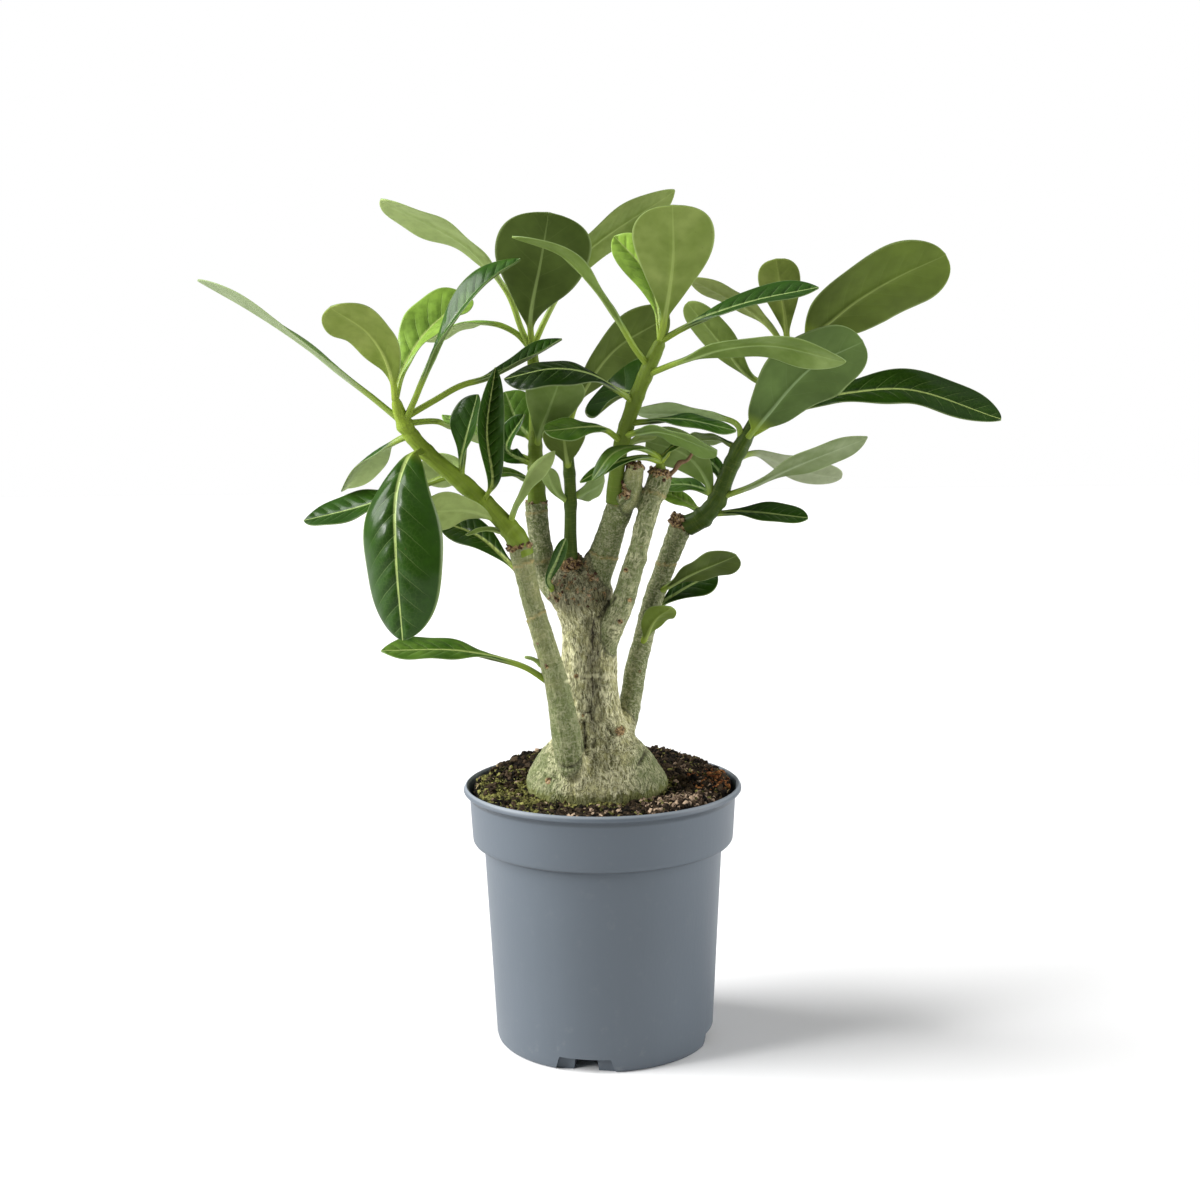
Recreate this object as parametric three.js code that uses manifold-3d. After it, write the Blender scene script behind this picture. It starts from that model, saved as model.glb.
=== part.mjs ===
// Potted desert rose: a grey-blue nursery pot, peat, a swollen stem with woody branches, and leafy shoots.
// Millimetres, +Z up. The origin is on the pot's axis, on the surface that it stands on. The front is -Y.
import * as THREE from 'three';
import { mergeVertices } from 'three/addons/utils/BufferGeometryUtils.js';
import Module from 'manifold-3d';

const wasm = await Module();
wasm.setup();

// Pot: a 120 mm round pot with a straight collar and a flared lip.
const RIM_RADIUS = 60;
const POT_HEIGHT = 113;
const COLLAR_FOOT = 88;
const BODY_TOP_RADIUS = 51.8;
const BODY_FOOT_RADIUS = 47.8;
const WALL = 1.3;
const FLOOR_UNDERSIDE = 6;
const FOOT_INNER_RADIUS = 37.5;
const POT_FACETS = 40;

// Pot foot: four notches under the wall, each with a narrower slot in the inner ring.
const NOTCH_COUNT = 4;
const NOTCH_TURN = -100.6;
const NOTCH_WIDTH = 22;
const SLOT_WIDTH = 9;
const SLOT_SPLAY = 1;
const DRAIN_RADIUS = 4;
const DRAIN_RING = 25;
const DRAIN_FACETS = 12;

// Peat: a lumpy top a little under the rim, higher at the back, with two low mounds in front.
const PEAT_LEVEL = 108.8;
const PEAT_BACK_RISE = 5.6;
const PEAT_LUMP = 1.3;
const PEAT_RINGS = [55.6, 50.5, 44, 37.5, 31, 22];
const PEAT_SEED = 7;
const MOUNDS = [
  { x: 34, y: -34, height: 3.4, spread: 15 },
  { x: 50, y: -4, height: 2.6, spread: 15 },
  { x: -42, y: -26, height: 2.4, spread: 12 },
];

// Gap between pieces that touch.
const GAP = 0.3;

// Swollen stem: height, centre, half width and half depth, from the buried root end to the cut head.
const SWOLLEN_STEM = [
  { z: 38, x: -2, y: 1, wide: 4, deep: 4 },
  { z: 58, x: -2, y: 1, wide: 11, deep: 10 },
  { z: 80, x: -2, y: 1, wide: 21, deep: 19 },
  { z: 97, x: -2.4, y: 1, wide: 28, deep: 25 },
  { z: 108, x: -2.8, y: 1, wide: 30.8, deep: 26.6 },
  { z: 115, x: -3, y: 1, wide: 30.6, deep: 26.4 },
  { z: 121, x: -3.2, y: 1, wide: 27.2, deep: 24.2 },
  { z: 127, x: -3, y: 0.6, wide: 22.8, deep: 20.6 },
  { z: 133, x: -3.2, y: 0.2, wide: 17.6, deep: 17 },
  { z: 141, x: -4, y: -0.4, wide: 14, deep: 13.6 },
  { z: 152, x: -4.6, y: -0.8, wide: 12.2, deep: 12 },
  { z: 168, x: -4.8, y: -1, wide: 11.7, deep: 11.4 },
  { z: 182, x: -5, y: -1, wide: 12, deep: 11.2 },
  { z: 191, x: -7, y: -1, wide: 13.4, deep: 11.6 },
  { z: 200, x: -8.6, y: -1, wide: 13.2, deep: 11.4 },
  { z: 206, x: -9.6, y: -2, wide: 10.4, deep: 9 },
];
const STEM_FACETS = 20;
const LOBE = 0.035;

// Woody branches: the centre line, and the radius from its foot to its top.
const WOOD = {
  front_left: {
    path: [[-8, -10, 114], [-12.6, -18.6, 124], [-14.4, -21.6, 135], [-15.8, -22, 143], [-18, -21.5, 157],
      [-21.6, -21, 171], [-27.5, -20, 191], [-30.8, -20, 205], [-33.6, -20, 219.4]],
    thick: [6, 6.6, 6.6, 6.2, 5.3, 4.8, 4.4, 4.4, 4.7],
  },
  back_left: {
    path: [[-9, -1, 192], [-17, 1, 195.6], [-23, 3, 203], [-25, 3, 214], [-26.6, 4, 225], [-27, 4, 235]],
    thick: [6, 6.2, 5.2, 4.9, 4.8, 4.8],
  },
  head_stump: {
    path: [[-10, -3, 202], [-12, -4, 208], [-12.6, -4, 211]],
    thick: [6, 4.8, 4.2],
  },
  centre: {
    path: [[-4, -2, 193], [-2.2, -3, 203], [2, -4, 214], [5.6, -5.6, 225], [9.4, -8, 235],
      [10.8, -9.6, 239.6]],
    thick: [7.4, 7, 6.3, 5.6, 5.8, 6.3],
  },
  centre_stump: {
    path: [[11, -10, 234], [13.6, -12, 244], [15, -13, 251.6]],
    thick: [4.4, 4.4, 3.8],
  },
  centre_right: {
    path: [[0, -3, 170], [3.4, -7.4, 180], [9, -12, 193], [12.6, -13, 205], [15.6, -13, 214.6],
      [18.4, -12, 225], [21.4, -11, 235.6], [24.4, -10, 242], [25.8, -10, 248.6]],
    thick: [6, 5.6, 5, 4.7, 4.4, 4.2, 4.2, 5.3, 4.8],
  },
  right: {
    path: [[5.6, 3, 124], [10, 8, 136], [12.4, 11, 146], [14.6, 12.6, 158], [18, 14, 171.6],
      [22.4, 14, 189], [26.6, 14, 200.6], [31, 13, 212.6], [36.4, 12, 226.5]],
    thick: [6, 5.2, 4.8, 4.8, 4.5, 4.3, 4.4, 4.7, 5.3],
  },
};
const WOOD_FACETS = 10;
const WOOD_STEP = 14;

// Leaf blades.
const BLADE = 1;
const STALK_THICK = 2.4;
const STALK_HALF = 1.3;
const TIP_HALF = 0.5;
const BLADE_STATIONS = [0.14, 0.34, 0.54, 0.7, 0.84, 0.94, 1];
const WIDE_LEAF = 21;
const SHOOT_FACETS = 8;
const SHOOT_STEP = 11;

// Leafy shoots. A leaf leaves the stem at a share of its length, and its rib runs on through the points
// given, the last one its tip. `wide` is the blade's full width, `face` the way its upper side looks, `fold` the
// angle in degrees that each half is raised, `bow` how far the edges bend back, `belly` where it is widest,
// `blunt` how round the tip is, and `stalk` the share of its length that is bare.
const SHOOTS = {
  shoot_left: {
    path: [[-31.8, -20, 214], [-34.4, -20, 221], [-39, -20.4, 227], [-49, -21.4, 238], [-59, -23, 247.4],
      [-69.4, -26, 256.6], [-77, -29, 266], [-80.6, -31, 274], [-82, -33, 281]],
    thick: [4.6, 4.6, 4.4, 4, 3.9, 3.8, 3.4, 3, 2.6],
    leaves: [
      { at: 0.86, rib: [[-99.6, -30, 287], [-120, -26, 302.6], [-141, -20, 316], [-164, -12, 328.4]],
        wide: 23, face: [0.35, 0.14, 0.87], fold: 12, blunt: 0.2, stalk: 0.16 },
      { at: 0.98, rib: [[-83, -39, 293], [-90, -45, 306], [-103.4, -56, 316]], wide: 26,
        face: [0.5, 0.8, 0.3], fold: -6, blunt: 1 },
      { at: 0.98, rib: [[-78.6, -26, 292], [-72.6, -18, 303.6], [-64, -11, 312.6], [-53, -5, 320]],
        wide: 26, face: [-0.5, -0.78, 0.38], fold: 24 },
      { at: 0.86,
        rib: [[-74, -34, 279], [-67, -39, 294], [-58, -45, 309], [-44, -46, 325], [-30, -44, 334]],
        wide: 19, face: [-0.74, -0.4, 0.5], fold: 20, blunt: 0.2, stalk: 0.2 },
      { at: 0.88,
        rib: [[-66, -26, 279], [-57, -22, 284], [-46, -18, 287.6], [-30, -12, 295], [-15, -8, 303]],
        wide: 14, face: [-0.25, -0.3, 0.92], fold: 22, blunt: 0.1, stalk: 0.42 },
      { at: 0.86, rib: [[-66, -22, 270], [-58, -14, 266], [-51, -4, 261]], wide: 12, face: [0, -0.2, 1],
        stalk: 0.4 },
      { at: 0.8, rib: [[-84, -24, 262], [-95, -10, 256], [-108, 8, 241]], wide: 20, face: [-0.6, 0.5, 0.62],
        fold: -22 },
      { at: 0.7, rib: [[-76, -42, 256], [-80, -53, 242], [-80, -57, 219], [-78, -52, 184]], wide: 33,
        face: [-0.1, -1, 0.9], fold: 9, bow: 0.16, belly: 0.6, blunt: 0.7, stalk: 0.1 },
      { at: 0.52, rib: [[-98, -11, 235], [-125, -4, 228]], wide: 22, face: [0.1, -0.5, 0.85], fold: 8,
        blunt: 0.2 },
      { at: 0.44, rib: [[-61, -10, 252], [-73, 0, 243]], wide: 20, face: [-0.2, 0.8, 0.5] },
      { at: 0.18, rib: [[-53, -26, 234], [-75, -34, 234]], wide: 20, face: [-0.2, 0.8, 0.6], fold: -6,
        blunt: 0.6 },
      { at: 0.12, rib: [[-47, -24, 226], [-55, -28, 224]], wide: 5, face: [0, 0.5, 0.8] },
      { at: 0.33, rib: [[-44, -30, 246], [-45, -38, 267], [-41, -40, 292]], wide: 22,
        face: [-0.15, -0.9, 0.2], fold: 38, blunt: 0.4, belly: 0.55 },
      { at: 0.47, rib: [[-55, -27, 259], [-49, -26, 281]], wide: 19, face: [-0.62, -0.6, 0.3], fold: 24,
        blunt: 0.4 },
      { at: 0.16, rib: [[-34, -25, 236], [-28, -29, 248], [-18, -31, 258]], wide: 10,
        face: [0.6, 0.6, -0.3], fold: 20, blunt: 0.2 },
    ],
  },
  shoot_tall: {
    path: [[-26.6, 4, 230], [-27, 4, 240], [-27, 4, 252], [-27, 5, 268], [-27, 6, 284], [-28, 6, 300]],
    thick: [4.4, 4, 3.4, 3.1, 3, 2.8],
    leaves: [
      { at: 0.97, rib: [[-32, 4, 307], [-37.6, -2, 322.6], [-52, -11, 340.4], [-86, -30, 358.6]], wide: 24,
        face: [0.45, 0.45, 0.75], fold: -8, blunt: 0.5, stalk: 0.3 },
      { at: 0.99, rib: [[-28, -4, 312], [-22.4, -26, 336], [-19, -36, 352]], wide: 39,
        face: [0, 0.75, 0.65], fold: -8, belly: 0.76, blunt: 1 },
      { at: 0.98, rib: [[-35, 6, 306], [-46, 5, 310.4], [-58, 8, 310], [-74, 12, 303]], wide: 17,
        face: [0.1, 0.06, 0.99], fold: -14, stalk: 0.34 },
      { at: 0.99, rib: [[-18, 12, 320], [-6, 17, 339], [33, 15, 365]], wide: 26, face: [-0.6, 0.55, 0.6],
        fold: -8, blunt: 0.3 },
      { at: 0.36, rib: [[-25, 0, 264], [-21, -6, 274], [-15, -14, 289]], wide: 25, face: [0, 0.8, 0.6],
        belly: 0.76, blunt: 1 },
      { at: 0.42, rib: [[-34, 8, 267], [-40, 14, 281]], wide: 20, face: [0, -0.8, 0.5] },
      { at: 0.28, rib: [[-39, 3, 257], [-31, -3, 272]], wide: 12, face: [-0.5, -0.7, 0.35], fold: 30,
        blunt: 0.4, belly: 0.55 },
      { at: 0.17, rib: [[-36, -4, 247], [-47, -12, 248]], wide: 12, face: [0, -0.45, 0.9], fold: 10 },
      { at: 0.3, rib: [[-47, 14, 260], [-68, 22, 271]], wide: 14, face: [0, -0.3, 0.95], blunt: 0.1 },
    ],
  },
  shoot_centre: {
    path: [[-12.6, -4, 210], [-12.4, -5, 228], [-12.6, -5, 247], [-13.5, -4, 261]],
    thick: [3.1, 2.9, 2.8, 2.6],
    leaves: [
      { at: 0.75, rib: [[-14, -10, 257], [-15, -15, 268]], wide: 18, face: [0, 0.8, 0.6], belly: 0.74,
        blunt: 1 },
      { at: 0.52, rib: [[-4, 2, 240], [2, 7, 243]], wide: 15, face: [0.2, 0.8, 0.55], blunt: 1 },
      { at: 0.48, rib: [[-18, -8, 240], [-22, -11, 250]], wide: 8, face: [0.3, 0.8, 0.3] },
      { at: 0.98, rib: [[-10, 8, 275], [6, 21, 298], [31, 31, 313]], wide: 27, face: [-0.35, 0.8, 0.5],
        fold: -8, stalk: 0.24 },
    ],
  },
  shoot_crown: {
    path: [[6.4, -10, 235], [7, -11.8, 246], [9.2, -14.4, 260], [14.4, -18, 276], [20.6, -22, 291],
      [26, -25, 303]],
    thick: [3.8, 3.6, 3.5, 3.5, 3.4, 3],
    leaves: [
      { at: 0.98, rib: [[27, -30, 312], [29.6, -45, 333], [29, -58, 353]], wide: 32, face: [0, 0.75, 0.6],
        belly: 0.76, blunt: 1 },
      { at: 0.82, rib: [[14.6, -28, 299], [7, -37, 312], [-3, -45, 325], [-14, -51, 335.5],
        [-32.8, -54.5, 342]],
        wide: 20, face: [0.6, 0.14, 0.78], fold: 8, blunt: 0.3, stalk: 0.22 },
      { at: 0.98, rib: [[23.6, -20, 317], [18.6, -15, 331], [7, -10, 344.4]], wide: 18,
        face: [-0.2, -0.84, 0.4], fold: 30, blunt: 0.3 },
      { at: 0.98, rib: [[41, -31, 310], [62, -35, 317], [88, -35, 322]], wide: 20,
        face: [-0.2, -0.42, 0.88], fold: 12, blunt: 0.2 },
      { at: 0.77, rib: [[34, -34, 294], [48, -42, 298.6], [68.2, -49, 300], [96.4, -55, 293]], wide: 24,
        face: [0.1, 0.42, 0.9], fold: -10, blunt: 0.45, stalk: 0.16 },
      { at: 0.6, rib: [[5, -27, 284], [-4, -32, 289], [-18, -35, 291], [-38, -32, 287]], wide: 21,
        face: [0, -0.52, 0.85], fold: -12, blunt: 0.3 },
      { at: 0.66, rib: [[12, -6, 283], [7, 6, 287]], wide: 24, face: [0, -0.6, 0.8], fold: 8 },
      { at: 0.47, rib: [[33, -24, 270], [56, -25, 265]], wide: 18, face: [0, -0.3, 0.95], blunt: 0.3 },
      { at: 0.4, rib: [[25, -31, 266], [47, -42, 258]], wide: 20, face: [0.1, 0.45, 0.9], fold: -12,
        blunt: 1 },
      { at: 0.27, rib: [[14, -9, 260.6], [24, -5, 262]], wide: 13, face: [0, 0.4, 0.9] },
      { at: 0.36, rib: [[0, -27, 267], [-22, -34, 266]], wide: 18, face: [0, -0.45, 0.9], stalk: 0.3 },
    ],
  },
  shoot_bud: {
    path: [[25.8, -10, 246], [25.2, -11.6, 254.5]],
    thick: [2.6, 2],
    leaves: [
      { at: 0.9, rib: [[17, -23, 258.6], [6, -32, 257], [-3, -34, 246]], wide: 8, face: [0, -0.5, 0.85],
        blunt: 0.3 },
      { at: 0.72, rib: [[17, -19, 254.6], [4, -25, 251.4], [-8, -28, 245]], wide: 7, face: [0, -0.5, 0.85],
        blunt: 0.3 },
      { at: 0.7, rib: [[30, -14, 258], [35, -16, 260]], wide: 8, face: [0, -0.4, 0.9] },
    ],
  },
  shoot_right: {
    path: [[37.6, 11, 223], [43.6, 8, 226.6], [50, 5, 234], [54, 4, 244], [58, 4, 253], [62, 5, 260],
      [68, 12, 270], [74, 20, 281], [79, 26, 290], [83, 30, 298]],
    thick: [4.6, 4.4, 4.2, 4, 3.8, 3.5, 3, 2.7, 2.6, 2.4],
    leaves: [
      { at: 0.46, rib: [[71, -3, 272], [88, -14, 291], [108, -20, 301]], wide: 39, face: [-0.3, 0.8, 0.5],
        fold: -5, belly: 0.62, blunt: 1 },
      { at: 0.49, rib: [[91.8, 13, 275], [111, 11, 279.4], [132.6, 5, 280], [166.6, -13, 268]], wide: 27,
        face: [0, -0.54, 0.84], fold: 14, bow: 0.1, belly: 0.62, blunt: 0.6, stalk: 0.2 },
      { at: 0.99, rib: [[93, 27, 304.6], [111, 16, 319], [127, 8, 328.4], [145, 0, 336.4]], wide: 43,
        face: [-0.35, 0.75, 0.55], fold: -5, belly: 0.6, blunt: 1 },
      { at: 0.99, rib: [[81, 26, 311], [76, 16, 336]], wide: 18, face: [0.1, 0.9, 0.3], belly: 0.76,
        blunt: 1 },
      { at: 0.97, rib: [[76, 27, 306], [66, 25, 315], [40, 14, 328]], wide: 15, face: [0.4, 0.5, 0.75] },
      { at: 0.79, rib: [[66, 17, 286], [50, 11, 304], [38, 7, 318]], wide: 19, face: [0.4, 0.6, 0.65] },
      { at: 0.44, rib: [[59, 6, 266], [43, 9, 271], [16, 10, 272]], wide: 18, face: [0, 0.42, 0.9],
        stalk: 0.24 },
      { at: 0.43, rib: [[52, 16, 260], [40, 26, 259]], wide: 14, face: [0, 0.5, 0.85] },
      { at: 0.15, rib: [[46, 5, 243], [37, 7, 254], [20, 8, 260]], wide: 20, face: [0.35, 0.85, 0.35] },
      { at: 0.25, rib: [[50, 12, 248], [37, 16, 257]], wide: 13, face: [0.3, -0.6, 0.6] },
      { at: 0.2, rib: [[62, -2, 240], [80, -12, 249.6], [110, -22, 262]], wide: 17,
        face: [-0.2, 0.66, 0.72], fold: -8, blunt: 0.2 },
      { at: 0.38, rib: [[67, 10, 254], [80, 17, 249], [93, 22, 244.6], [106, 26, 242]], wide: 15,
        face: [0.2, 0.75, 0.65], blunt: 0.9 },
      { at: 0.1, rib: [[62, 2, 229.4], [88, -4, 227]], wide: 15, face: [0, -0.5, 0.87], fold: 10,
        blunt: 0.6 },
      { at: 0.2, rib: [[39, 16, 240], [22, 24, 239]], wide: 15, face: [0, -0.4, 0.9] },
      { at: 0.1, rib: [[37, 16, 233], [26, 23, 238]], wide: 10, face: [0, -0.5, 0.85] },
    ],
  },
};

// Leaves that grow straight from the woody branches, each rooted at the point given.
const LONE_LEAVES = {
  leaf_low_left: { root: [-23.4, -21, 162], rib: [[-33, -24, 168.4], [-58, -30, 176], [-90, -36, 177.4]],
    wide: 21, face: [0, -0.32, 0.95], fold: 6, blunt: 0.2, stalk: 0.2 },
  leaf_bud_left: { root: [-23, -21, 167], rib: [[-28, -22, 171], [-32, -22, 172]], wide: 4,
    face: [0, 0.4, 0.9] },
  leaf_dark_left: { root: [-30.6, -20, 204], rib: [[-38, -15, 210.6], [-51, -7, 221], [-68, 3, 226.6]],
    wide: 14, face: [-0.2, -0.75, 0.55], fold: 6, blunt: 0.4 },
  leaf_blunt_right: { root: [23.4, 13, 193], rib: [[38.4, 4, 203], [57.4, -6, 212]], wide: 20,
    face: [-0.3, 0.75, 0.6], fold: -6, blunt: 1, belly: 0.76 },
  leaf_dark_right: { root: [21.4, 14, 185], rib: [[37.4, 18, 195], [51, 22, 201]], wide: 19,
    face: [-0.1, -0.65, 0.75], fold: 8, blunt: 0.4 },
  leaf_slender_left: { root: [-19.5, -4.5, 197], rib: [[-22, -11, 202.5], [-18.4, -13.4, 211],
    [-14.4, -13, 220.5]], wide: 5.4, face: [0.3, -0.9, 0.2] },
  leaf_notched_right: { root: [17.6, 12, 171], rib: [[23.4, 3, 184], [30, -3, 189.6]], wide: 14,
    face: [-0.3, 0.8, 0.5], blunt: 0.8 },
};

// A dried flower stalk beside the bud.
const DRY_STALK = { path: [[28, -10, 246], [33.6, -11, 250.5], [39, -12, 255.5]], thick: [1.1, 0.8, 1.2] };

function finish(color, roughness) {
  return new THREE.MeshStandardMaterial({ color, roughness, metalness: 0 });
}

const PLASTIC = finish(0x69727b, 0.5);
const PEAT = finish(0x2b2119, 0.95);
const BARK = finish(0x9a9872, 0.75);
const LEAF = finish(0x3f6b2a, 0.42);
const LEAF_DARK = finish(0x27501f, 0.35);
const HUSK = finish(0x8a6a48, 0.85);

function vector(values) {
  return new THREE.Vector3(...values);
}

// A closed geometry as a solid, with its shared points merged and its flat triangles dropped.
function solidOf(geometry) {
  const bare = geometry.clone();
  bare.deleteAttribute('normal');
  bare.deleteAttribute('uv');
  const merged = mergeVertices(bare, 1e-4);
  const order = merged.index.array;
  const kept = [];
  for (let i = 0; i < order.length; i += 3) {
    const [a, b, c] = [order[i], order[i + 1], order[i + 2]];
    if (a !== b && b !== c && c !== a) {
      kept.push(a, b, c);
    }
  }
  return new wasm.Manifold(new wasm.Mesh({
    numProp: 3,
    vertProperties: Float32Array.from(merged.attributes.position.array),
    triVerts: Uint32Array.from(kept),
  }));
}

// The biggest whole of a solid, so that no loose scrap of a cut stays.
function biggest(solid) {
  const wholes = solid.decompose();
  return wholes.reduce((best, whole) => (whole.volume() > best.volume() ? whole : best));
}

function meshOf(name, solid, material) {
  const { vertProperties, triVerts } = solid.getMesh();
  const geometry = new THREE.BufferGeometry();
  geometry.setAttribute('position', new THREE.BufferAttribute(Float32Array.from(vertProperties), 3));
  geometry.setIndex(new THREE.BufferAttribute(Uint32Array.from(triVerts), 1));
  geometry.computeVertexNormals();
  const mesh = new THREE.Mesh(geometry, material);
  mesh.name = name;
  return mesh;
}

// A closed skin over rings of points that run counter-clockwise along the way of travel.
// `cap` lists the triangles that close one end, in ring numbers.
function loft(rings, cap) {
  const count = rings[0].length;
  const last = (rings.length - 1) * count;
  const index = [];
  for (let ring = 0; ring < rings.length - 1; ring += 1) {
    for (let i = 0; i < count; i += 1) {
      const a = ring * count + i;
      const b = ring * count + ((i + 1) % count);
      index.push(a, b, b + count, a, b + count, a + count);
    }
  }
  for (const [a, b, c] of cap) {
    index.push(a, c, b, last + a, last + b, last + c);
  }
  const geometry = new THREE.BufferGeometry();
  const points = rings.flat().flatMap((point) => point.toArray());
  geometry.setAttribute('position', new THREE.Float32BufferAttribute(points, 3));
  geometry.setIndex(index);
  return solidOf(geometry);
}

function fan(count) {
  return Array.from({ length: count - 2 }, (_, i) => [0, i + 1, i + 2]);
}

function curveThrough(points) {
  return new THREE.CatmullRomCurve3(points.map(vector), false, 'centripetal');
}

// The value at a share of the way along a list of values that are spaced alike.
function valueAt(values, share) {
  const place = Math.min(Math.max(share, 0), 1) * (values.length - 1);
  const low = Math.min(Math.floor(place), values.length - 2);
  return THREE.MathUtils.lerp(values[low], values[low + 1], place - low);
}

// A round stem along a path, `grow` thicker all round.
function stemSolid({ path, thick }, facets, step, grow = 0) {
  const curve = curveThrough(path);
  const steps = Math.max(2, Math.round(curve.getLength() / step));
  const frames = curve.computeFrenetFrames(steps, false);
  const rings = [];
  for (let i = 0; i <= steps; i += 1) {
    const share = curve.getUtoTmapping(i / steps);
    const radius = valueAt(thick, share) + grow;
    const centre = curve.getPointAt(i / steps);
    if (grow > 0 && (i === 0 || i === steps)) {
      centre.addScaledVector(frames.tangents[i], i === 0 ? -grow : grow);
    }
    const ring = [];
    for (let facet = 0; facet < facets; facet += 1) {
      const turn = (facet / facets) * 2 * Math.PI;
      const point = centre.clone();
      point.addScaledVector(frames.normals[i], radius * Math.cos(turn));
      point.addScaledVector(frames.binormals[i], radius * Math.sin(turn));
      ring.push(point);
    }
    rings.push(ring);
  }
  return loft(rings, fan(facets));
}

// The blade's half width as a share of its greatest, at a share of its length.
function bladeShare(share, belly, blunt) {
  const tipPower = 0.42 + 0.5 * (1 - blunt);
  const basePower = (tipPower * belly) / (1 - belly);
  return (share / belly) ** basePower * ((1 - share) / (1 - belly)) ** tipPower;
}

// A leaf: a stalk and a thin folded blade, closed all round, with the same triangles on both faces.
function leafSolid(root, leaf) {
  const { rib, wide, face, fold = 0, bow = 0, belly = 0.7, blunt = 0.8, stalk = 0.12 } = leaf;
  const curve = curveThrough([root, ...rib]);
  const halves = wide > WIDE_LEAF ? 2 : 1;
  const across = [];
  for (let i = -halves; i <= halves; i += 1) {
    across.push(i / halves);
  }
  const stations = [0, ...BLADE_STATIONS.map((share) => stalk + (1 - stalk) * share)];
  const rise = THREE.MathUtils.degToRad(fold);
  const rings = stations.map((along) => {
    const centre = curve.getPointAt(along);
    const ahead = curve.getTangentAt(along);
    const side = vector(face).cross(ahead).normalize();
    const up = ahead.clone().cross(side);
    const share = Math.max(0, (along - stalk) / (1 - stalk));
    const blade = (wide / 2) * bladeShare(share, belly, blunt);
    const floor = share < belly ? STALK_HALF : TIP_HALF;
    const half = Math.max(blade, floor);
    const thick = THREE.MathUtils.lerp(STALK_THICK, BLADE, Math.min(1, share * 3));
    const place = (u, lift) => {
      const out = half * u * Math.cos(rise);
      const high = half * (Math.abs(u) * Math.sin(rise) - bow * u * u) + lift;
      return centre.clone().addScaledVector(side, out).addScaledVector(up, high);
    };
    const under = across.map((u) => place(u, -thick / 2));
    const over = across.map((u) => place(u, thick / 2)).reverse();
    return [...under, ...over];
  });
  const top = 2 * across.length - 1;
  const cap = [];
  for (let i = 0; i < across.length - 1; i += 1) {
    cap.push([i, i + 1, top - i - 1], [i, top - i - 1, top - i]);
  }
  return loft(rings, cap);
}

// A turned shape from a closed outline of radius and height.
function turned(outline, facets) {
  const geometry = new THREE.LatheGeometry(outline.map(([r, z]) => new THREE.Vector2(r, z)), facets);
  geometry.rotateX(Math.PI / 2);
  return solidOf(geometry);
}

// A straight block of an outline in width and height, from one radius to another, turned about the axis.
function radialBlock(outline, from, to, turn) {
  const shape = new THREE.Shape(outline.map(([x, z]) => new THREE.Vector2(x, z)));
  const geometry = new THREE.ExtrudeGeometry(shape, { depth: to - from, bevelEnabled: false });
  geometry.rotateX(Math.PI / 2);
  geometry.translate(0, -from, 0);
  geometry.rotateZ(THREE.MathUtils.degToRad(turn + 90));
  return solidOf(geometry);
}

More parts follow.
